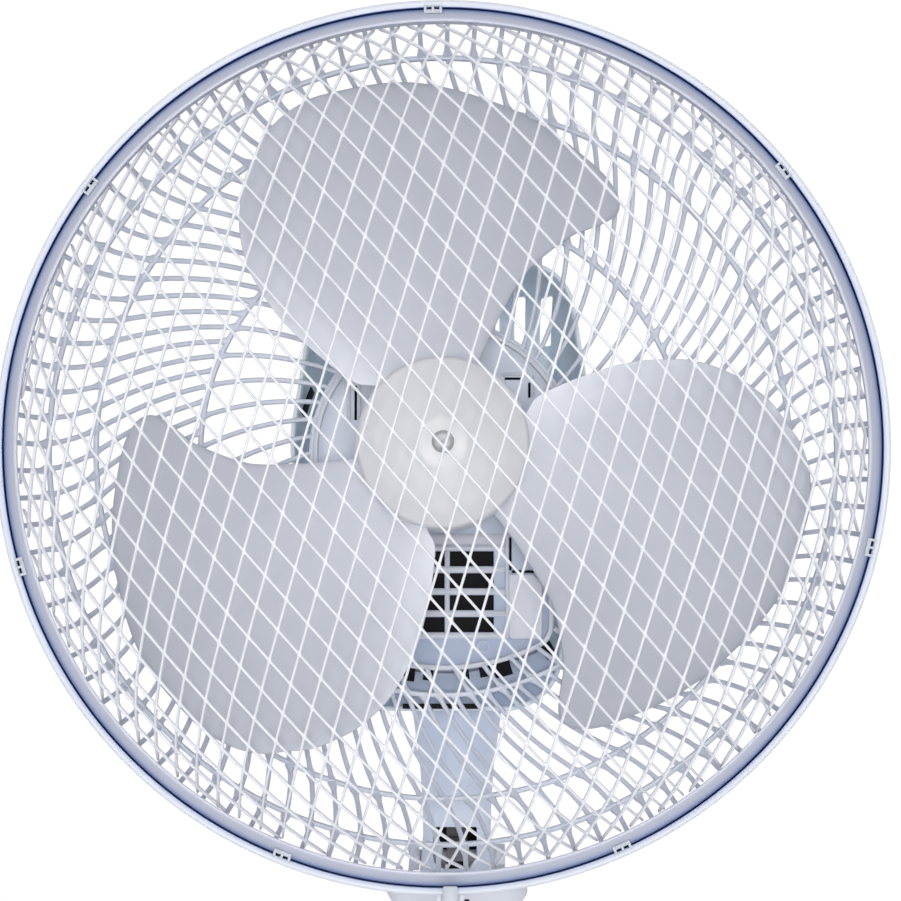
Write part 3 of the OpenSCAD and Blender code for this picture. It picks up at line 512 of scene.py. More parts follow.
def net_geometry():
    """Two families of strands that join at small patches."""
    verts, faces = [], []
    reach = int(DOME_S / NET_CELL) + 6
    inside = {(i, j): patch_centre(i, j) for i in range(-reach, reach + 1)
              for j in range(-reach, reach + 1)
              if patch_centre(i, j).length < DOME_S - 1.2}
    half = STRAND_W / 2
    # Corners of a patch are where the edges of the two strands cross
    step = half / abs(DIRECTIONS[0].cross(DIRECTIONS[1]))
    patch = {}
    for key, p in inside.items():
        patch[key] = len(verts)
        for back in (0, STRAND_H):
            for a, b in PATCH_CORNERS:
                verts.append(on_dome(p + step * (a * DIRECTIONS[0] + b * DIRECTIONS[1]),
                                     back))
    for (i, j), base in patch.items():
        p = inside[(i, j)]
        faces.append((base, base + 1, base + 2, base + 3))
        faces.append((base + 7, base + 6, base + 5, base + 4))
        for di, dj in PATCH_SIDES:
            other = (i + di, j + dj)
            joins = other in patch
            if joins and (di < 0 or dj < 0):
                continue
            along, across = DIRECTIONS if di else DIRECTIONS[::-1]
            normal = Vector((-along.y, along.x)) * half
            if normal.dot(across) < 0:
                normal = -normal
            along = along * (di + dj)
            near = step + 1.3
            if joins:
                length = (inside[other] - p).length
                stops = [near, length / 2, length - near]
            else:
                b = p.dot(along)
                length = -b + math.sqrt(b * b + DOME_S ** 2 - p.length_squared)
                stops = [s for s in (near, length / 2) if s < length - 0.8] + [length]
            rings = [patch_side(base, (di, dj))]
            for s in stops:
                q = p + along * s
                rings.append([len(verts) + k for k in range(4)])
                verts += [on_dome(q - normal, 0), on_dome(q + normal, 0),
                          on_dome(q + normal, STRAND_H), on_dome(q - normal, STRAND_H)]
            if joins:
                rings.append(patch_side(patch[other], (-di, -dj)))
            else:
                faces.append(tuple(rings[-1]))
            for r0, r1 in zip(rings, rings[1:]):
                for k in range(4):
                    m = (k + 1) % 4
                    faces.append((r0[k], r0[m], r1[m], r1[k]))
    return verts, faces


def front_net():
    piece("front_net_moulding", net_geometry(), "head", NET,
          ["front_net"], levels=1, angle=180)


# -------------------------------------------------------------------- rims
def rim_section(offsets, radii, steps):
    """Rounded section of a rim, from offsets against the ring's outer edge."""
    return rounded([(RING_R + r, RING_F + f) for r, f in offsets], radii, steps)


def rims():
    band = rim_section([(-6.2, -6), (-4.25, -6), (-4.25, 2.4), (-5.5, 3.6), (-8, 6.4),
                        (-10.2, 9.5), (-11.9, 9.1), (-9.2, 2.5), (-6.2, -1)],
                       [0.8, 0.8, 0.3] + [0.8] * 6, 3)
    piece("front_rim_band", lathe(band, 240), "head", RIM, ["front_rim"])
    lip = rim_section([(-9, -9), (0, -9), (0, 5), (-3.75, 4.4), (-3.75, -6.5), (-9, -6.5)],
                      [1.1, 1.1, 1.4, 0.4, 0.8, 0.8], 4)
    parts = [lathe(lip, 240)]
    # Two ears that hold the latch's pin
    (x0, y, _), (x1, _, f) = head_box("latch_pin")
    for side in (-1, 1):
        ear = (x0 + x1) / 2 + side * 5.4
        parts.append(block(ear - 1.5, y - 2.2, f - 5.5, ear + 1.5, y + 7.5, f + 3.5, 0.8))
    piece("rear_rim_ring", merge(parts), "head", RIM, ["rear_rim"])


CLIPS = 7
CLIP_PITCH = 52.45
CLIP_START = 91.3 - 3 * CLIP_PITCH


def snap_loops():
    """Small frames with two windows that bridge the gap between band and lip."""
    inner, outer, f0, f1 = RING_R - 6.9, RING_R - 2.7, RING_F + 2.5, RING_F + 6
    bars = [block(inner, y - 0.65, f0, outer, y + 0.65, f1, 0.3) for y in (-3.85, 0, 3.85)]
    bars += [block(inner + 0.1, -4.4, f0, inner + 2, 4.4, f1 - 0.12, 0.3),
             block(outer - 0.6, -4.4, f0, outer - 0.1, 4.4, f1 - 0.2, 0.2)]
    loop = merge(bars)
    parts = [moved(loop, CLIP_START + k * CLIP_PITCH) for k in range(CLIPS)]
    piece("snap_loops", merge(parts), "head", LATCH, ["rim_clips"])


def latch():
    """A strip on the latch's plate, with three fine grips."""
    (x0, y0, f0), (x1, y1, f1) = head_box("latch")
    mid = (y0 + y1) / 2
    parts = [block(x0, mid - 2.4, f0 + 1.5, x1, mid + 2.4, f1 - 1, 0.9),
             block(x0, y0, f1 - 2.5, x1, y1, f1, 0.9)]
    for k in range(3):
        y = y0 + 1.2 + 1.6 * k
        parts.append(block(x0 + 1, y, f1 - 0.9, x1 - 1, y + 0.8, f1 - 0.05, 0.3))
    piece("latch_strip", merge(parts), "latch", LATCH, ["latch"])


# --------------------------------------------------------------- rear bowl
BOWL_IN = 67.0
BOWL_OUT = 214.0
BOWL_RINGS = (124.5, 176.5, 198.5)
BOWL = smooth_curve([(BOWL_IN, 64), (95, 67), (124.5, 71), (150, 77), (176.5, 87),
                     (198.5, 103), (209, 117), (BOWL_OUT, 130)], 6)
RIB_COUNT = 48
TWIST = 0.243              # degrees to a millimetre
LEAN_R = (170.0, 206.0)    # the twist fades out between these radii
RIB_W = 2.4
RIB_D = 4.4
PLATE_HALF = 57.0
PLATE_DROP = 112.0


def bowl_angle(r):
    """Turn of a rib at r in degrees: even at first, then fading out."""
    start, end = LEAN_R
    beyond = min(max(r - start, 0.0), end - start)
    return TWIST * (min(r, start) - BOWL_IN + beyond - beyond ** 2 / 2 / (end - start))


def rib_radii(start_r):
    """Radii of a rib's rings, closer together where it meets a ring."""
    radii = {start_r} | {r for r, _ in BOWL if r > start_r + 2}
    for ring_r in BOWL_RINGS:
        radii = {r for r in radii if abs(r - ring_r) > 4.5 or r == start_r}
        radii |= {ring_r + d for d in (-4.2, -2.4, -1.2, 0, 1.2, 2.4, 4.2)
                  if ring_r + d > start_r + 0.5}
    return sorted(radii)


def rib_width(r):
    """A rib widens into a fillet at each ring."""
    near = min(abs(r - ring_r) for ring_r in BOWL_RINGS)
    return RIB_W + 2.6 * max(0.0, 1 - near / 4.2) ** 2


def rib(start_r, turn):
    """One rib: a rounded bar swept out along the bowl."""
    rings = []
    for r in rib_radii(start_r):
        width = rib_width(r)
        section = rounded(rectangle(-width / 2, 0, width / 2, RIB_D), 0.8, 2)
        a = turn + bowl_angle(r)
        outward = Vector((*polar(1, a), 0))
        if r < BOWL_OUT:
            r1 = min(r + 1, BOWL_OUT)
            r0 = r1 - 2
            a1 = turn + bowl_angle(r1)
            along = Vector((*polar(r1, a1), lookup(r1, BOWL))) \
                - Vector((*polar(r0, 2 * a - a1), lookup(r0, BOWL)))
        else:
            along = outward + Vector((0, 0, 1))
        side = along.cross(Vector((0, 0, 1))).normalized()
        deep = side.cross(along).normalized()
        if deep.z > 0:
            deep = -deep
        centre = outward * r + Vector((0, 0, lookup(r, BOWL)))
        rings.append([tuple(centre + side * u + deep * v) for u, v in section])
    return loft(rings)


def bowl_ring(r0, f0, r1, f1):
    """Rounded section of a ring of the bowl."""
    return rounded(rectangle(r0, f0, r1, f1), 0.8, 3)


def bowl():
    """Spiral ribs, twice as many beyond the second ring, and five rings."""
    parts = []
    for k in range(RIB_COUNT):
        for start, offset in ((BOWL_IN, 0), (BOWL_RINGS[0], 0.5)):
            turn = (k + offset) * 360 / RIB_COUNT
            r = start
            x, y = polar(r, turn + bowl_angle(r))
            # Ribs that would lie over the centre plate start at its edge
            while r < PLATE_DROP - 2 and y < -20 and abs(x) < PLATE_HALF - 2:
                r += 4
                x, y = polar(r, turn + bowl_angle(r))
            parts.append(rib(r, turn))
    for r in BOWL_RINGS:
        f = lookup(r, BOWL)
        parts.append(lathe(bowl_ring(r - 1.3, f, r + 1.3, f - 4.6), 192))
    # The inmost ring is open below, where the plate's foot hangs down
    f = lookup(BOWL_IN, BOWL)
    open_at = math.degrees(math.acos(PLATE_HALF / PLATE_R))
    parts.append(lathe(bowl_ring(BOWL_IN - 2, f, BOWL_IN + 2, f - 4), 96, -open_at,
                       180 + 2 * open_at))
    f = lookup(BOWL_OUT, BOWL)
    parts.append(lathe(bowl_ring(BOWL_OUT - 3, f + 1, BOWL_OUT, f - 4), 240))
    piece("rear_bowl", merge(parts), "head", RIB, ["rear_ribs"], angle=60)


# ------------------------------------------------------------ centre plate
PLATE_R = 67.0
PLATE_F = 60.0
PLATE_CORNER = 13.0
VENT_ROWS = 4
VENT_TOP = -50.8
VENT_H = 7.7
VENT_PITCH = 11.3
VENT_COLUMNS = ((-20.0, 0.9), (3.6, 26.2))
GAP = 1.3
# Painted shade on the cover: a dark strip on its left flank stands for a slot and dark patches
# at its
# foot stand for openings: from and to in degrees, and for those at the foot the outer radius
FLANK_SHADE_SLOT = (155.8, 167)
FOOT_SHADE_GAPS = ((-101.2, -97.2, 119), (-95.1, -92.5, 117.6), (-84.7, -83.2, 117.4),
             (-80.5, -77.5, 117.6), (-76.8, -72.3, 119.6), (-63.2, -60.3, 119.6))


def plate_outline(grow):
    """A disc with a broad tongue below it that ends in an arc about the axis."""
    half = PLATE_HALF + grow
    join = math.degrees(math.acos(half / (PLATE_R + grow)))
    disc = arc(0, 0, PLATE_R + grow, -join, 180 + join, 60)
    x = PLATE_HALF - PLATE_CORNER
    y = -math.sqrt((PLATE_DROP - PLATE_CORNER) ** 2 - x * x)
    lean = math.degrees(math.atan2(y, x))
    left = arc(-x, y, PLATE_CORNER + grow, 180, 180 - lean, 10)
    foot = arc(0, 0, PLATE_DROP + grow, -180 - lean, lean, 40)[1:-1]
    right = arc(x, y, PLATE_CORNER + grow, lean, 0, 10)
    return disc + left + foot + right


def hook_gaps():
    """Narrow slots beside the hooks that hold the plate."""
    return [rectangle(31.9, 37.6, 40.4, 37.6 + GAP), rectangle(44, 28.4, 44 + GAP, 36.2),
            rectangle(-45.6, 16.8, -45.6 + GAP, 34.8),
            rectangle(34.1, -60.6, 34.1 + GAP, -43.6),
            rectangle(35.6, -62, 47.9, -62 + GAP)]


def vent_outlines():
    """Rows of air slots, each in two parts."""
    tops = [VENT_TOP - k * VENT_PITCH for k in range(VENT_ROWS)]
    return [rectangle(x0, top - VENT_H, x1, top) for top in tops for x0, x1 in VENT_COLUMNS]


def vent_frame():
    """Bars between the vents, the frame round them and the divider."""
    f0, f1 = PLATE_F + 2, PLATE_F + 5.5
    x0, x1 = VENT_COLUMNS[0][0] - 1.5, 32.6
    foot = VENT_TOP - (VENT_ROWS - 1) * VENT_PITCH - VENT_H
    bars = []
    for k in range(1, VENT_ROWS):
        y = VENT_TOP - k * VENT_PITCH
        bars.append(block(x0, y + 0.3, f0, x1, y + 3.3, f1, 0.9))
    return bars + [block(x0 - 3, foot - 3.4, f0, x1, foot - 0.3, f1 + 0.4, 1.0),
                   block(x0, VENT_TOP + 0.4, f0, x1, VENT_TOP + 2.6, f1, 0.9),
                   block(x0, VENT_TOP + 3.2, f0, x1 + 1, VENT_TOP + 9, f1 - 1.5, 0.9),
                   block(1.0, foot, f0, 3.3, VENT_TOP, f1 - 0.4, 0.8),
                   block(x1 - 0.4, foot - 3.4, f0, x1 + 1.3, VENT_TOP + 9, f1 + 0.8, 0.7)]


def raised_lines():
    """Low beads beside the upper gaps and the round boss under the vents."""
    f0, f1 = PLATE_F + 2, PLATE_F + 4.2
    boss = lathe(rounded(rectangle(2.5, f0, 3.1, f1), 0.25, 2), 32)
    return [block(30.4, 39.8, f0, 45, 41.2, f1, 0.6), block(46.2, 29, f0, 47.6, 40, f1, 0.6),
            block(-43.6, 15, f0, -42.2, 37, f1, 0.6), block(-49.4, 15, f0, -47.6, 37, f1, 0.6),
            moved(boss, x=20.7, y=-99.8)]


def shade_sheets():
    """Painted shade: thin dark sheets behind the plate's slots, and dark strips and patches that
    stand for slots and openings in the cover.
    """
    f0, f1 = PLATE_F - 1.2, PLATE_F - 0.3
    sheets = [block(VENT_COLUMNS[0][0] - 4, -99, f0, 50, -40, f1, 0.3),
              block(29, 26, f0, 48, 42, f1, 0.3), block(-48, 14, f0, -42, 37, f1, 0.3)]
    a0, a1 = FLANK_SHADE_SLOT
    flank = arc(0, 5, 76.4, a0, a1, 8) + arc(0, 5, 75.7, a1, a0, 8)
    gaps = [arc(0, 0, r, a0, a1, 8) + arc(0, 0, 107, a1, a0, 8) for a0, a1, r in FOOT_SHADE_GAPS]
    slits = [rectangle(x0, -131.9, x1, -129.2) for x0, x1 in ((-20.7, 5), (7.7, 18.2))]
    return sheets + [plate([flank], -12, 30, 0.1), plate(gaps, 52.6, 52.9, 0.05),
                     plate(slits, 58.05, 58.35, 0.05)]


def centre_plate():
    back = plate([plate_outline(0), arc(0, 0, 20.2, 0, 345, 23)] + vent_outlines()
                 + hook_gaps(), PLATE_F, PLATE_F + 3, 0.3)
    rim = plate([plate_outline(0), plate_outline(-2.8)], PLATE_F + 1, PLATE_F + 7, 0.8)
    box = [(33.6, -96.2), (51.2, -96.2), (51.2, -67.5), (46.5, -62.6), (33.6, -62.6)]
    panel = plate([rounded(box, [3.0, 3.0, 1.5, 1.5, 0.8], 5)], PLATE_F + 2, PLATE_F + 6.5,
                  0.8)
    obj = new_object("rear_centre_plate", *back)
    # Painted light: paler towards the top of the plate, darker towards its foot.
    mark_pale(obj, lambda x, y: (y + 75) / 60)
    piece("rear_centre_plate", obj, "head", PLATE, ["rear_plate"])
    piece("plate_frame", merge([rim, panel] + vent_frame() + raised_lines()), "head",
          CASE)
    # Dark sheets: painted shade behind the slots and openings.
    piece("painted_shade_sheets", merge(shade_sheets()), "head", DARK)


# ------------------------------------------------------------------ blades
HUB_R = 42.0
TIP_R = 182.0
ROOT_R = 38.0
BLADE_F = 136.0
BLADE_HALF = 1.1
BLADE_MID = 97.0      # degrees at which the top blade lies at BLADE_F
BLADE_RISE = 0.75     # millimetres to a degree
# Leading and trailing edge as (radius, degrees)
LEAD = [(ROOT_R, 67), (60, 67), (88, 65.5), (103, 63.5), (124, 59), (134, 56), (141, 54.2),
        (148, 53.4), (154, 54.6), (158, 57.2), (161, 60.5), (165, 67), (169.6, 73.5),
        (174, 81), (179.5, 91), (182, 99)]
TRAIL = [(182.3, 109), (181, 113), (178.5, 116.5), (174, 120), (168, 123), (161, 127),
         (153.5, 130), (145.5, 133), (135.5, 136), (125.5, 138.5), (117, 140),
         (105, 142), (91, 143.8), (74, 145.2), (60, 146), (50, 145.5), (43, 140),
         (ROOT_R, 138)]


def blade_height(x, y):
    """How far forward the middle of the top blade is at (x, y)."""
    r = math.hypot(x, y)
    a = math.degrees(math.atan2(y, x))
    grow = 0.7 + 0.3 * min(1.0, (r - ROOT_R) / 50)
    t = (a - lookup(r, LEAD)) / 75
    camber = 5 * math.sin(math.pi * min(max(t, 0), 1)) \
        * max(r - ROOT_R, 0) / (TIP_R - ROOT_R)
    return BLADE_F + BLADE_RISE * grow * (a - BLADE_MID) + camber


def blade_outline():
    """Closed smooth outline of the top blade, from root to root."""
    root = arc(0, 0, ROOT_R, TRAIL[-1][1], LEAD[0][1], 10)[1:-1]
    return smooth_curve([polar(r, a) for r, a in LEAD + TRAIL], 6) + root


def blade_paleness(x, y):
    """Blades are paler at the root, and paler along the thin trailing edge as painted light
    shining through the thin plastic.
    """
    a = (math.degrees(math.atan2(y, x)) - 37) % 120 + 37
    edge = min(1.0, max(0.0, (a - 127) / 14))
    inner = min(1.0, max(0.0, (150 - math.hypot(x, y)) / 105))
    return min(1.0, 0.45 * inner + 0.3 * inner ** 4
               + 0.45 * edge * edge * (3 - 2 * edge) * inner ** 0.5)


def blade():
    """The top blade: rings of quads that shrink from its outline to its middle."""
    outline = [Vector(p) for p in blade_outline()]
    centre = Vector((-14.0, 108.0))

    def layer(scale, side):
        spots = [centre + (p - centre) * scale for p in outline]
        return [(p.x, p.y, blade_height(p.x, p.y) + side * BLADE_HALF) for p in spots]

    fore = [(scale, 1) for scale in (0.02, 0.2, 0.4, 0.6, 0.75, 0.87, 0.95, 0.985)]
    fore.append((0.997, 0.6))
    rear = [(scale, -side) for scale, side in reversed(fore)]
    return loft([layer(*spot) for spot in fore + [(1.0, 0)] + rear])


def rotor_pieces():
    hub = rounded([(HUB_R - 2.5, 100), (HUB_R, 100), (HUB_R, 160), (4.1, 160),
                   (4.1, 120), (9, 120), (9, 157), (HUB_R - 2.5, 157)], 0.8, 3)
    top = blade()
    parts = [lathe(hub, 128)] + [moved(top, 120 * k) for k in range(3)]
    blades = new_object("blade_moulding", *merge(parts))
    mark_pale(blades, blade_paleness)
    piece("blade_moulding", blades, "rotor", BLADE, ["blade_set"])
    cap = rounded([(HUB_R - 0.05, 160.05), (HUB_R - 0.05, 162.5), (HUB_R - 1, 164.6),
                   (HUB_R - 9, 167.4), (HUB_R - 20, 169.4), (12, 170.9), (7, 171),
                   (4.1, 171), (4.1, 160.05)], [1.2] * 6 + [0.4, 0.3, 0.3], 4)
    piece("hub_cap", lathe(cap, 128), "rotor", MILKY, ["spinner"])
    nut = rounded([(4.1, 171.05), (5.4, 171.05), (5.4, 172.4), (5.0, 173.2), (4.8, 177.5),
                   (3.6, 178.8), (0.01, 178.8), (0.01, 176.6), (4.1, 176.6)], 0.5, 3)
    obj = new_object("hub_nut", *lathe(nut, 48))
    groove = block(-0.55, -1.5, 176.9, 0.55, 9, 181, 0.1)
    cut(obj, [moved(groove, lean, y=-2.5) for lean in (-38, 38)])
    piece("hub_nut", obj, "rotor", NUT, ["spinner_nut"])


# ------------------------------------------------------------- motor cover
def cover_outline(t, inset):
    """Outline of the cover, t from 0 at its straight part to 1 at its back."""
    ease = 1 - math.sqrt(max(0.0, 1 - t * t))
    discs = [(0, 5, 79 - 29 * ease)]
    for side in (-1, 1):
        discs.append((side * (41 - 13 * ease), 72 - 22 * ease, 28 + 4 * ease))
        discs.append((side * (32 - 24 * ease), -103 + 13 * ease, 30 + 4 * ease))
    out = []
    for k in range(96):
        n = Vector(polar(1, 360 * k / 96))
        x, y, r = max(discs, key=lambda d: d[0] * n.x + d[1] * n.y + d[2])
        out.append((x + n.x * (r - inset), y + n.y * (r - inset)))
    return out


def cover_back(y, t):
    """Depth of the back wall: the lower part comes further forward."""
    low = min(1.0, max(0.0, (-y - 10) / 100))
    return -20 - (54 - 13 * low * low * (3 - 2 * low)) * t


def motor_cover():
    """A shell that is open in front, with air slots above and two round holes."""
    wall = 2.5
    steps = (0, 0.15, 0.32, 0.5, 0.68, 0.82, 0.92, 0.98, 1.0)
    spread = (0.04, 0.15, 0.3, 0.45, 0.6, 0.75, 0.88, 0.96)

    def straight(f, inset):
        return [(x, y, f) for x, y in cover_outline(0, inset)]

    def rear(t, inset, scale=1.0):
        points = [(x * scale, -5 + (y + 5) * scale) for x, y in cover_outline(t, inset)]
        return [(x, y, cover_back(y, t) + inset) for x, y in points]

    rings = [rear(1, 0, scale) for scale in spread] + [rear(t, 0) for t in steps[::-1]]
    rings += [straight(f, 0) for f in (0, 20, 40, 56.5)]
    rings += [straight(58, 0.8), straight(58, wall - 0.6)]
    rings += [straight(f, wall) for f in (57, 40, 20, 0)] + [rear(t, wall) for t in steps]
    rings += [rear(1, wall, scale) for scale in spread[::-1]]
    obj = new_object("motor_cover_shell", *loft(rings))
    cutters = [block(14.3 * k - 3, 66, -90, 14.3 * k + 3, 97 - 1.5 * abs(k), -22, 1.5)
               for k in range(-4, 5)]
    (x0, _, f0), (x1, _, f1) = head_box("osc_knob")
    x, f = (x0 + x1) / 2, (f0 + f1) / 2
    cutters += [rod((POLE_X, -150, 0), (POLE_X, -105, 0), 26, 64),
                rod((x, 60, f), (x, 120, f), 6.3)]
    cut(obj, cutters)
    piece("motor_cover_shell", obj, "head", COVER, ["motor_cover"])
    cover_lip()


def foot_crescent(inset, r):
    """Foot of the cover's outline, as far as it lies beyond r from the axis."""
    low = [p for p in cover_outline(0, inset) if p[1] < -60 and math.hypot(*p) > r + 1]
    low.sort(key=lambda p: math.atan2(p[1], p[0]))
    first, last = (math.degrees(math.atan2(p[1], p[0])) for p in (low[0], low[-1]))
    return low + arc(0, 0, r, last, first, 24)


def cover_lip():
    """Crescent that closes the foot of the cover's mouth, and the shelf behind it."""
    lip = plate([foot_crescent(1.0, 113.5)], 50, 52.5, 0.3)
    shelf = plate([foot_crescent(3.2, 104)], 46.5, 47.5, 0.2)
    piece("cover_lip", merge([lip, shelf]), "head", LIP)


# -------------------------------------------------------------------- neck
# Half width against the height from the blade axis
NECK_PROFILE = [(-226, 20), (-214, 19.2), (-200, 18), (-185, 18.2), (-165, 19.5),
                (-150, 21.5), (-135, 23.6), (-124, 24), (-118, 24)]
TILT_Y = -212.0


def neck_ring(z, inset=0.0):
    """Section of the neck at height z from the blade axis."""
    t = min(1.0, max(0.0, (-150 - z) / 60))
    half_w = lookup(z, NECK_PROFILE) - inset
    half_d = 22 - 5 * t - inset
    power = 2 + 2.2 * t
    ring = []
    for k in range(64):
        c, s = polar(1, 360 * k / 64)
        x = half_w * math.copysign(abs(c) ** (2 / power), c)
        y = half_d * math.copysign(abs(s) ** (2 / power), s)
        ring.append((x, y, AXIS.z / MM + z))
    return ring


def prism(outline, y0, y1):
    """An outline of (x, height from the blade axis), extruded from y0 to y1."""
    return loft([[(x, y, AXIS.z / MM + z) for x, z in outline] for y in (y0, y1)])


def neck():
    heights = [-225, -218, -214, -207, -200, -192, -185, -175, -165, -157, -150, -142,
               -135, -128]
    rings = [neck_ring(-226, 0.8)] + [neck_ring(z) for z in heights]
    rings += [neck_ring(-125, 0), neck_ring(-119, -0.6), neck_ring(-118, 0.4)]
    inner = [neck_ring(z, 3) for z in (-119.5, -135, -150, -165, -185, -205, -224)]
    inner.append(neck_ring(-226, 2.2))
    obj = new_object("neck_moulding", *loft(rings + inner, closed_path=True), place=pole)
    window = rounded([(-12.6, -217), (10.4, -217), (10.4, -195), (-12.6, -195)],
                     [7, 7, 1, 1], 6)
    slot = rectangle(-6, -240, 6, -211)
    cut(obj, [prism(window, -60, -5), prism(slot, 5, 60)], pole)
    piece("neck_moulding", obj, "neck", SHADE, ["neck"], place=pole)
    # A dark sheet inside the neck behind its window: painted shade.
    neck_shade = prism(rounded(rectangle(-13, -211, 13, -190), 1, 3), 12.6, 13.6)
    piece("neck_shade_sheet", neck_shade, "neck", DARK, place=pole)
    # A grey patch inside the neck: painted shade above the tongue.
    boss = prism(rounded(rectangle(-5.5, -204, 5.5, -191), 0.5, 2), 11.8, 12.7)
    piece("neck_inner_shade", boss, "neck", GREY_SHADE, place=pole)


# ------------------------------------------------------------ tilt bracket
def slab(z, half_w, half_d, corner):
    """Rounded rectangle across the pole at height z from the floor."""
    outline = rounded(rectangle(-half_w, -half_d, half_w, half_d), corner, 6)
    return [(x, y, z) for x, y in outline]


def tilt_bracket():
    lo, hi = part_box("tilt_bracket")
    base = lo.z / MM
    pivot = AXIS.z / MM + TILT_Y
    top = pivot - 10
    half_w, half_d = hi.x / MM, hi.y / MM
    rings = [slab(base, 24, 23, 7), slab(base + 0.8, 25, 24, 7.5)]
    for k in range(1, 8):
        t = k / 8
        rings.append(slab(base + 1 + (top - base - 9) * t, 25 + (half_w - 25) * t,
                          24 + (half_d - 24) * t, 8 + 2 * t))
    rings += [slab(top - 7, half_w, half_d, 10), slab(top - 1.2, half_w, half_d, 10),
              slab(top - 0.3, half_w - 0.5, half_d - 0.5, 9.6),
              slab(top, half_w - 1.4, half_d - 1.4, 9)]
    obj = new_object("bracket_moulding", *loft(rings), place=pole)
    mark = AXIS.z / MM - 232
    cut(obj, [rod((-60, 0, pivot), (60, 0, pivot), 25, 64),
              block(1.6, -40, mark - 9, 6.4, -21, mark, 0.3)], pole)
    # Dark blocks: painted shade at the bottom of the mark's recess and on the tongue's front
    # below the pivot.
    recess_shade = [block(1.1, -21.8, mark - 9.5, 6.9, -20.8, mark + 0.5, 0.2),
              block(-5.4, -11.4, base + 8, 5.4, -10.9, pivot - 1.5, 0.1)]
    piece("bracket_recess_shade", merge(recess_shade), "mast", DARK, place=pole)
    sides = rounded([(-11, base + 6), (11, base + 6), (11, pivot)]
                    + arc(0, pivot, 11, 8, 172, 20) + [(-11, pivot)], 0.4, 1)
    tongue = loft([[(x, y, z) for y, z in sides] for x in (-5.5, 5.5)])
    part = new_object("bracket_tongue", *tongue, place=pole)
    cut(part, [rod((-20, 0, pivot), (20, 0, pivot), 4.05, 32)], pole)
    piece("bracket_moulding", obj, "mast", CASE, ["tilt_bracket"], place=pole)
    # The tongue is dark grey: painted shade inside the neck.
    piece("bracket_tongue", part, "mast", GREY_SHADE, place=pole, bevel=0.6)


# ------------------------------------------------------------- control box
BOX_H = 142
# Height from the box's foot, half width and half depth
BOX_FORM = [(0, 28.6, 22), (1.2, 30.8, 24.2), (6, 34, 27), (14, 38.2, 29.8),
            (22, 40.7, 31.4), (30, 41.8, 31.9), (40, 42, 32), (96, 42, 32),
            (106, 41.6, 31.8), (116, 39.8, 30.8), (126, 36, 29), (136, 31.6, 26.8),
            (140.8, 29.2, 25.2), (BOX_H, 27.4, 23.6)]
BOX_WIDTH = [(z, half_w) for z, half_w, half_d in BOX_FORM]
BOX_DEPTH = [(z, half_d) for z, half_w, half_d in BOX_FORM]
BOX_SPLIT = -2.0
BOX_WALL = 2.5
KEY_PITCH = 17.0


def box_form(base, inset):
    """Closed form of the control box: rounded slabs from its foot to its top."""
    rings = []
    for z in sorted([z for z, _ in BOX_WIDTH] + [50, 68, 84]):
        at = min(max(z, inset), BOX_H - inset)
        rings.append(slab(base + inset + z * (BOX_H - 2 * inset) / BOX_H,
                          lookup(at, BOX_WIDTH) - inset, lookup(at, BOX_DEPTH) - inset,
                          max(11 - inset, 4)))
    return loft(rings)


def control_box():
    """Two shells that meet in a seam, with bosses for the screws."""
    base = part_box("control_box_front")[0].z / MM
    spots = [(x, base + z) for x in (-26, 26) for z in (40, 98)]
    gland = base + 42
    window = block(-35, -60, base + 68, 35, -10, base + 88, 0.3)
    tube = rod((0, 0, base - 20), (0, 0, base + 20), 10.3, 64)
    shells = (("box_front_shell", (BOX_SPLIT, 60), [window], "control_box_front"),
              ("box_rear_shell", (-60, BOX_SPLIT + 0.3),
               [rod((x, 18, z), (x, 50, z), 4.4) for x, z in spots]
               + [rod((0, 10, gland), (0, 60, gland), 6.1, 48)], "control_box_rear"))
    for name, (y0, y1), holes, node in shells:
        obj = new_object(name, *box_form(base, 0), pole)
        away = block(-80, y0, base - 20, 80, y1, base + 180, 0.1)
        cut(obj, [box_form(base, BOX_WALL), tube, away] + holes, pole)
        piece(name, obj, "mast", CASE, [node], place=pole, bevel=0.5)
    sleeve = lathe(rectangle(4.3, -18.5, 5.6, -31), 32)
    piece("screw_sleeves", merge([moved(sleeve, x=x, y=z) for x, z in spots]), "mast",
          CASE, place=front)
    keys(base + 78)


def keys(middle):
    """Bezel and four dished keys, marked by a ring and one to three pips."""
    centres = [(k - 1.5) * KEY_PITCH for k in range(4)]
    gaps = [rectangle(x - 7.9, middle - 6.9, x + 7.9, middle + 6.9) for x in centres]
    edge = rounded(rectangle(-37, middle - 13, 37, middle + 13), 6, 6)
    face = plate([edge] + gaps, 32.05, 33.6, 0.5)
    rim = plate([edge, rounded(rectangle(-35, middle - 11, 35, middle + 11), 4.6, 6)],
                32.05, 34, 0.45)
    piece("button_bezel_face", merge([face, rim]), "mast", SHADE,
          ["button_bezel"], place=front)
    dish = ((25, 0.3), (25.4, 0), (38.6, 0), (39.5, 0.4), (39.9, 1.1), (39.6, 2.4),
            (39.1, 4.2), (39.0, 5.4))
    circle = rounded(rectangle(1.3, 38.6, 2.1, 39.6), 0.2, 2)
    pip = rounded([(0.01, 38.6), (0.75, 38.6), (0.75, 39.5), (0.01, 39.7)], 0.2, 2)
    for k, name in enumerate(("off", "low", "medium", "high")):
        rings = []
        for f, inset in dish:
            half_w, half_h = 7.5 - inset, 6.5 - inset
            outline = rounded(rectangle(centres[k] - half_w, middle - half_h,
                                        centres[k] + half_w, middle + half_h),
                              max(1.8 - inset * 0.3, 0.4), 4)
            rings.append([(x, z, f) for x, z in outline])
        marks = max(k, 1)
        parts = [loft(rings)]
        for j in range(marks):
            parts.append(moved(lathe(pip if k else circle, 24),
                               x=centres[k] + (j - (marks - 1) / 2) * 2.4, y=middle))
        mat, slot = (WHITE, "case_white") if k else (SHADE, "case_shade")
        piece("key_" + name, merge(parts), "button_" + name, mat,
              ["button_" + name], place=front)


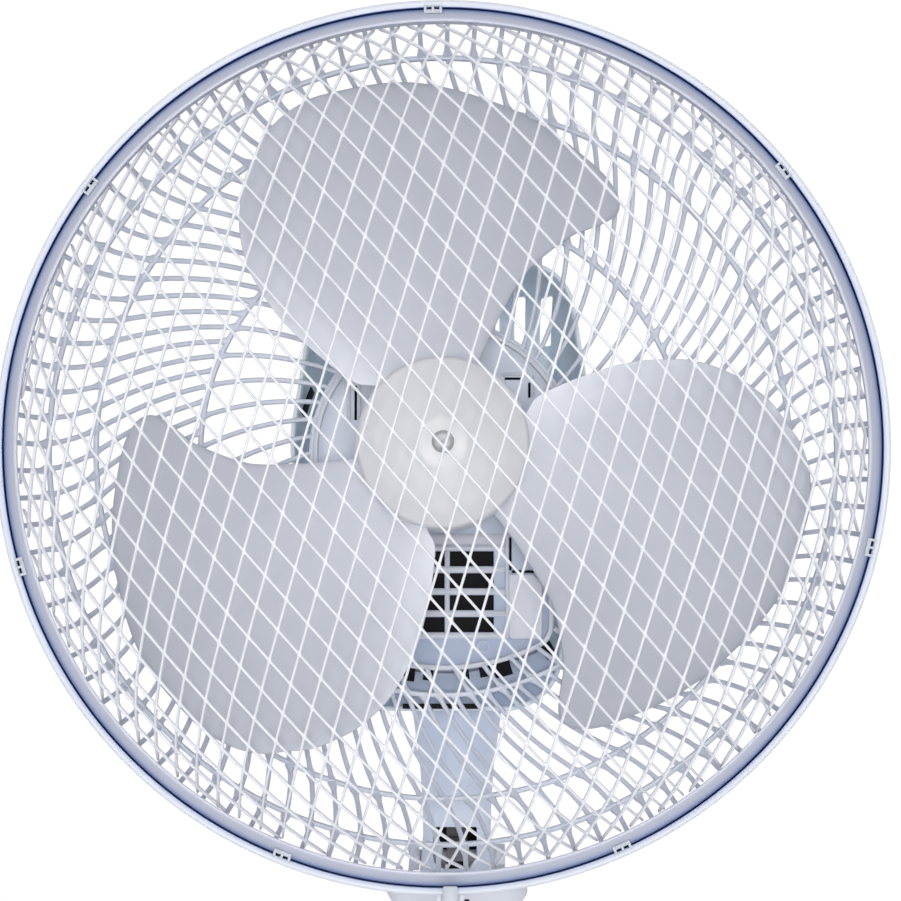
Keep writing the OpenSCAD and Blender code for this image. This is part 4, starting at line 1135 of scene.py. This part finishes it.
# ---------------------------------------------------------- kept CAD parts
DRESSED = (
    (("leg_lower", "leg_upper", "outer_tube", "base_cover"), TUBE, 0.3),
    (("clamp_collar", "clamp_knob"), CASE, 0.6),
    (("leg_caps",), SHADE, 0.8),
    (("foot_pads",), RUBBER, 0.6),
    (("osc_knob", "cord_gland"), CASE, 0.7),
    (("tilt_bolt", "tilt_nut"), WHITE, 0.5),
    (("pole_flange", "base_screws", "clamp_screw", "box_screws", "swivel_post", "link_pin",
      "link_arm", "cover_screw", "latch_pin", "shaft", "rotor_core", "worm", "shaft_pin",
      "clutch_rod", "crank", "stator_core"), STEEL, 0.2),
    (("inner_tube",), CHROME, 0.2),
    (("gearbox_case", "motor_front_bell", "motor_rear_bell"), CAST, 0.5),
    (("stator_windings",), COPPER, 1.5),
    (("shaft_bearings",), BRONZE, 0.2),
    (("capacitor", "worm_wheel"), NYLON, 0.4),
    (("tube_bush", "tube_socket", "speed_switch"), DARK, 0.3),
    (("grille_nut",), SHADE, 0.6))


def dress():
    """CAD nodes that stay: a material, welded corners and slightly broken edges."""
    for names, mat, bevel in DRESSED:
        for name in names:
            obj = CAD[name]
            obj.data.materials.clear()
            obj.data.materials.append(mat)
            weld = obj.modifiers.new("weld", "WELD")
            weld.merge_threshold = 1e-5
            break_edges(obj, bevel, 40)


# -------------------------------------------------------- light and camera
BACKDROP = 1.03
SKY_LOW = 0.32
SKY_HIGH = 0.66
FLOOR_R = 2900.0
# Name, place and size in metres, and power in watts
LAMPS = (("key", (-1.4, -2.0, 2.9), 1.4, 16), ("fill", (1.9, -1.7, 1.3), 1.8, 5),
         ("front", (0, -2.7, 0.84), 0.6, 38), ("back_left", (-2.2, 1.8, 1.9), 2.4, 18),
         ("back_right", (2.2, 1.8, 1.9), 2.4, 18))
LENS = 129.95
LENS_SHIFT = (0.00848, -0.0063)
CAMERA_AWAY = 1.6
CAMERA_BELOW = math.radians(3)


def stage():
    disc = [(x, y, -0.5) for x, y in arc(0, 0, FLOOR_R, 0, 356.25, 95)]
    floor = new_object("floor", disc, [tuple(range(len(disc)))], pole)
    floor.data.materials.append(material("pale_floor", (0.86, 0.86, 0.87), 0.6,
                                         mottle=0.01))
    studio()
    bpy.context.scene.view_settings.view_transform = "Standard"


def studio():
    """White surroundings, lighter above, and lights from the front, sides and back."""
    world = bpy.data.worlds.new("studio")
    bpy.context.scene.world = world
    world.use_nodes = True
    tree, link = world.node_tree, world.node_tree.links.new
    backdrop = tree.nodes["Background"]
    backdrop.inputs["Color"].default_value = (1, 1, 1, 1)
    backdrop.inputs["Strength"].default_value = BACKDROP
    place = add_node(tree, "TexCoord")
    split = add_node(tree, "SeparateXYZ")
    link(place.outputs["Generated"], split.inputs["Vector"])
    level = add_node(tree, "MapRange", From_Min=-1.0, To_Min=SKY_LOW, To_Max=SKY_HIGH)
    link(split.outputs["Z"], level.inputs["Value"])
    sky = add_node(tree, "Background", Color=(0.97, 0.98, 1, 1))
    link(level.outputs["Result"], sky.inputs["Strength"])
    path = add_node(tree, "LightPath")
    pick = add_node(tree, "MixShader")
    link(path.outputs["Is Camera Ray"], pick.inputs["Fac"])
    link(sky.outputs["Background"], pick.inputs[1])
    link(backdrop.outputs["Background"], pick.inputs[2])
    link(pick.outputs["Shader"], tree.nodes["World Output"].inputs["Surface"])
    for name, spot, size, power in LAMPS:
        light = bpy.data.lights.new(name, "AREA")
        light.size = size
        light.energy = power
        lamp = bpy.data.objects.new(name, light)
        lamp.location = spot
        aim = Vector((0, -0.1, AXIS.z)) - Vector(spot)
        lamp.rotation_euler = aim.to_track_quat("-Z", "Y").to_euler()
        bpy.context.scene.collection.objects.link(lamp)


def camera():
    """Straight in front of the ring and a little below it."""
    target = head(0, 0, RING_F)
    data = bpy.data.cameras.new("camera")
    data.sensor_width = 36
    data.lens = LENS
    data.shift_x, data.shift_y = LENS_SHIFT
    cam = bpy.data.objects.new("camera", data)
    cam.location = target + CAMERA_AWAY * Vector((0, -math.cos(CAMERA_BELOW),
                                                  -math.sin(CAMERA_BELOW)))
    cam.rotation_euler = (target - cam.location).to_track_quat("-Z", "Y").to_euler()
    bpy.context.scene.collection.objects.link(cam)
    bpy.context.scene.camera = cam


camera()
stage()
front_net()
rims()
snap_loops()
latch()
bowl()
centre_plate()
rotor_pieces()
motor_cover()
neck()
tilt_bracket()
control_box()
dress()
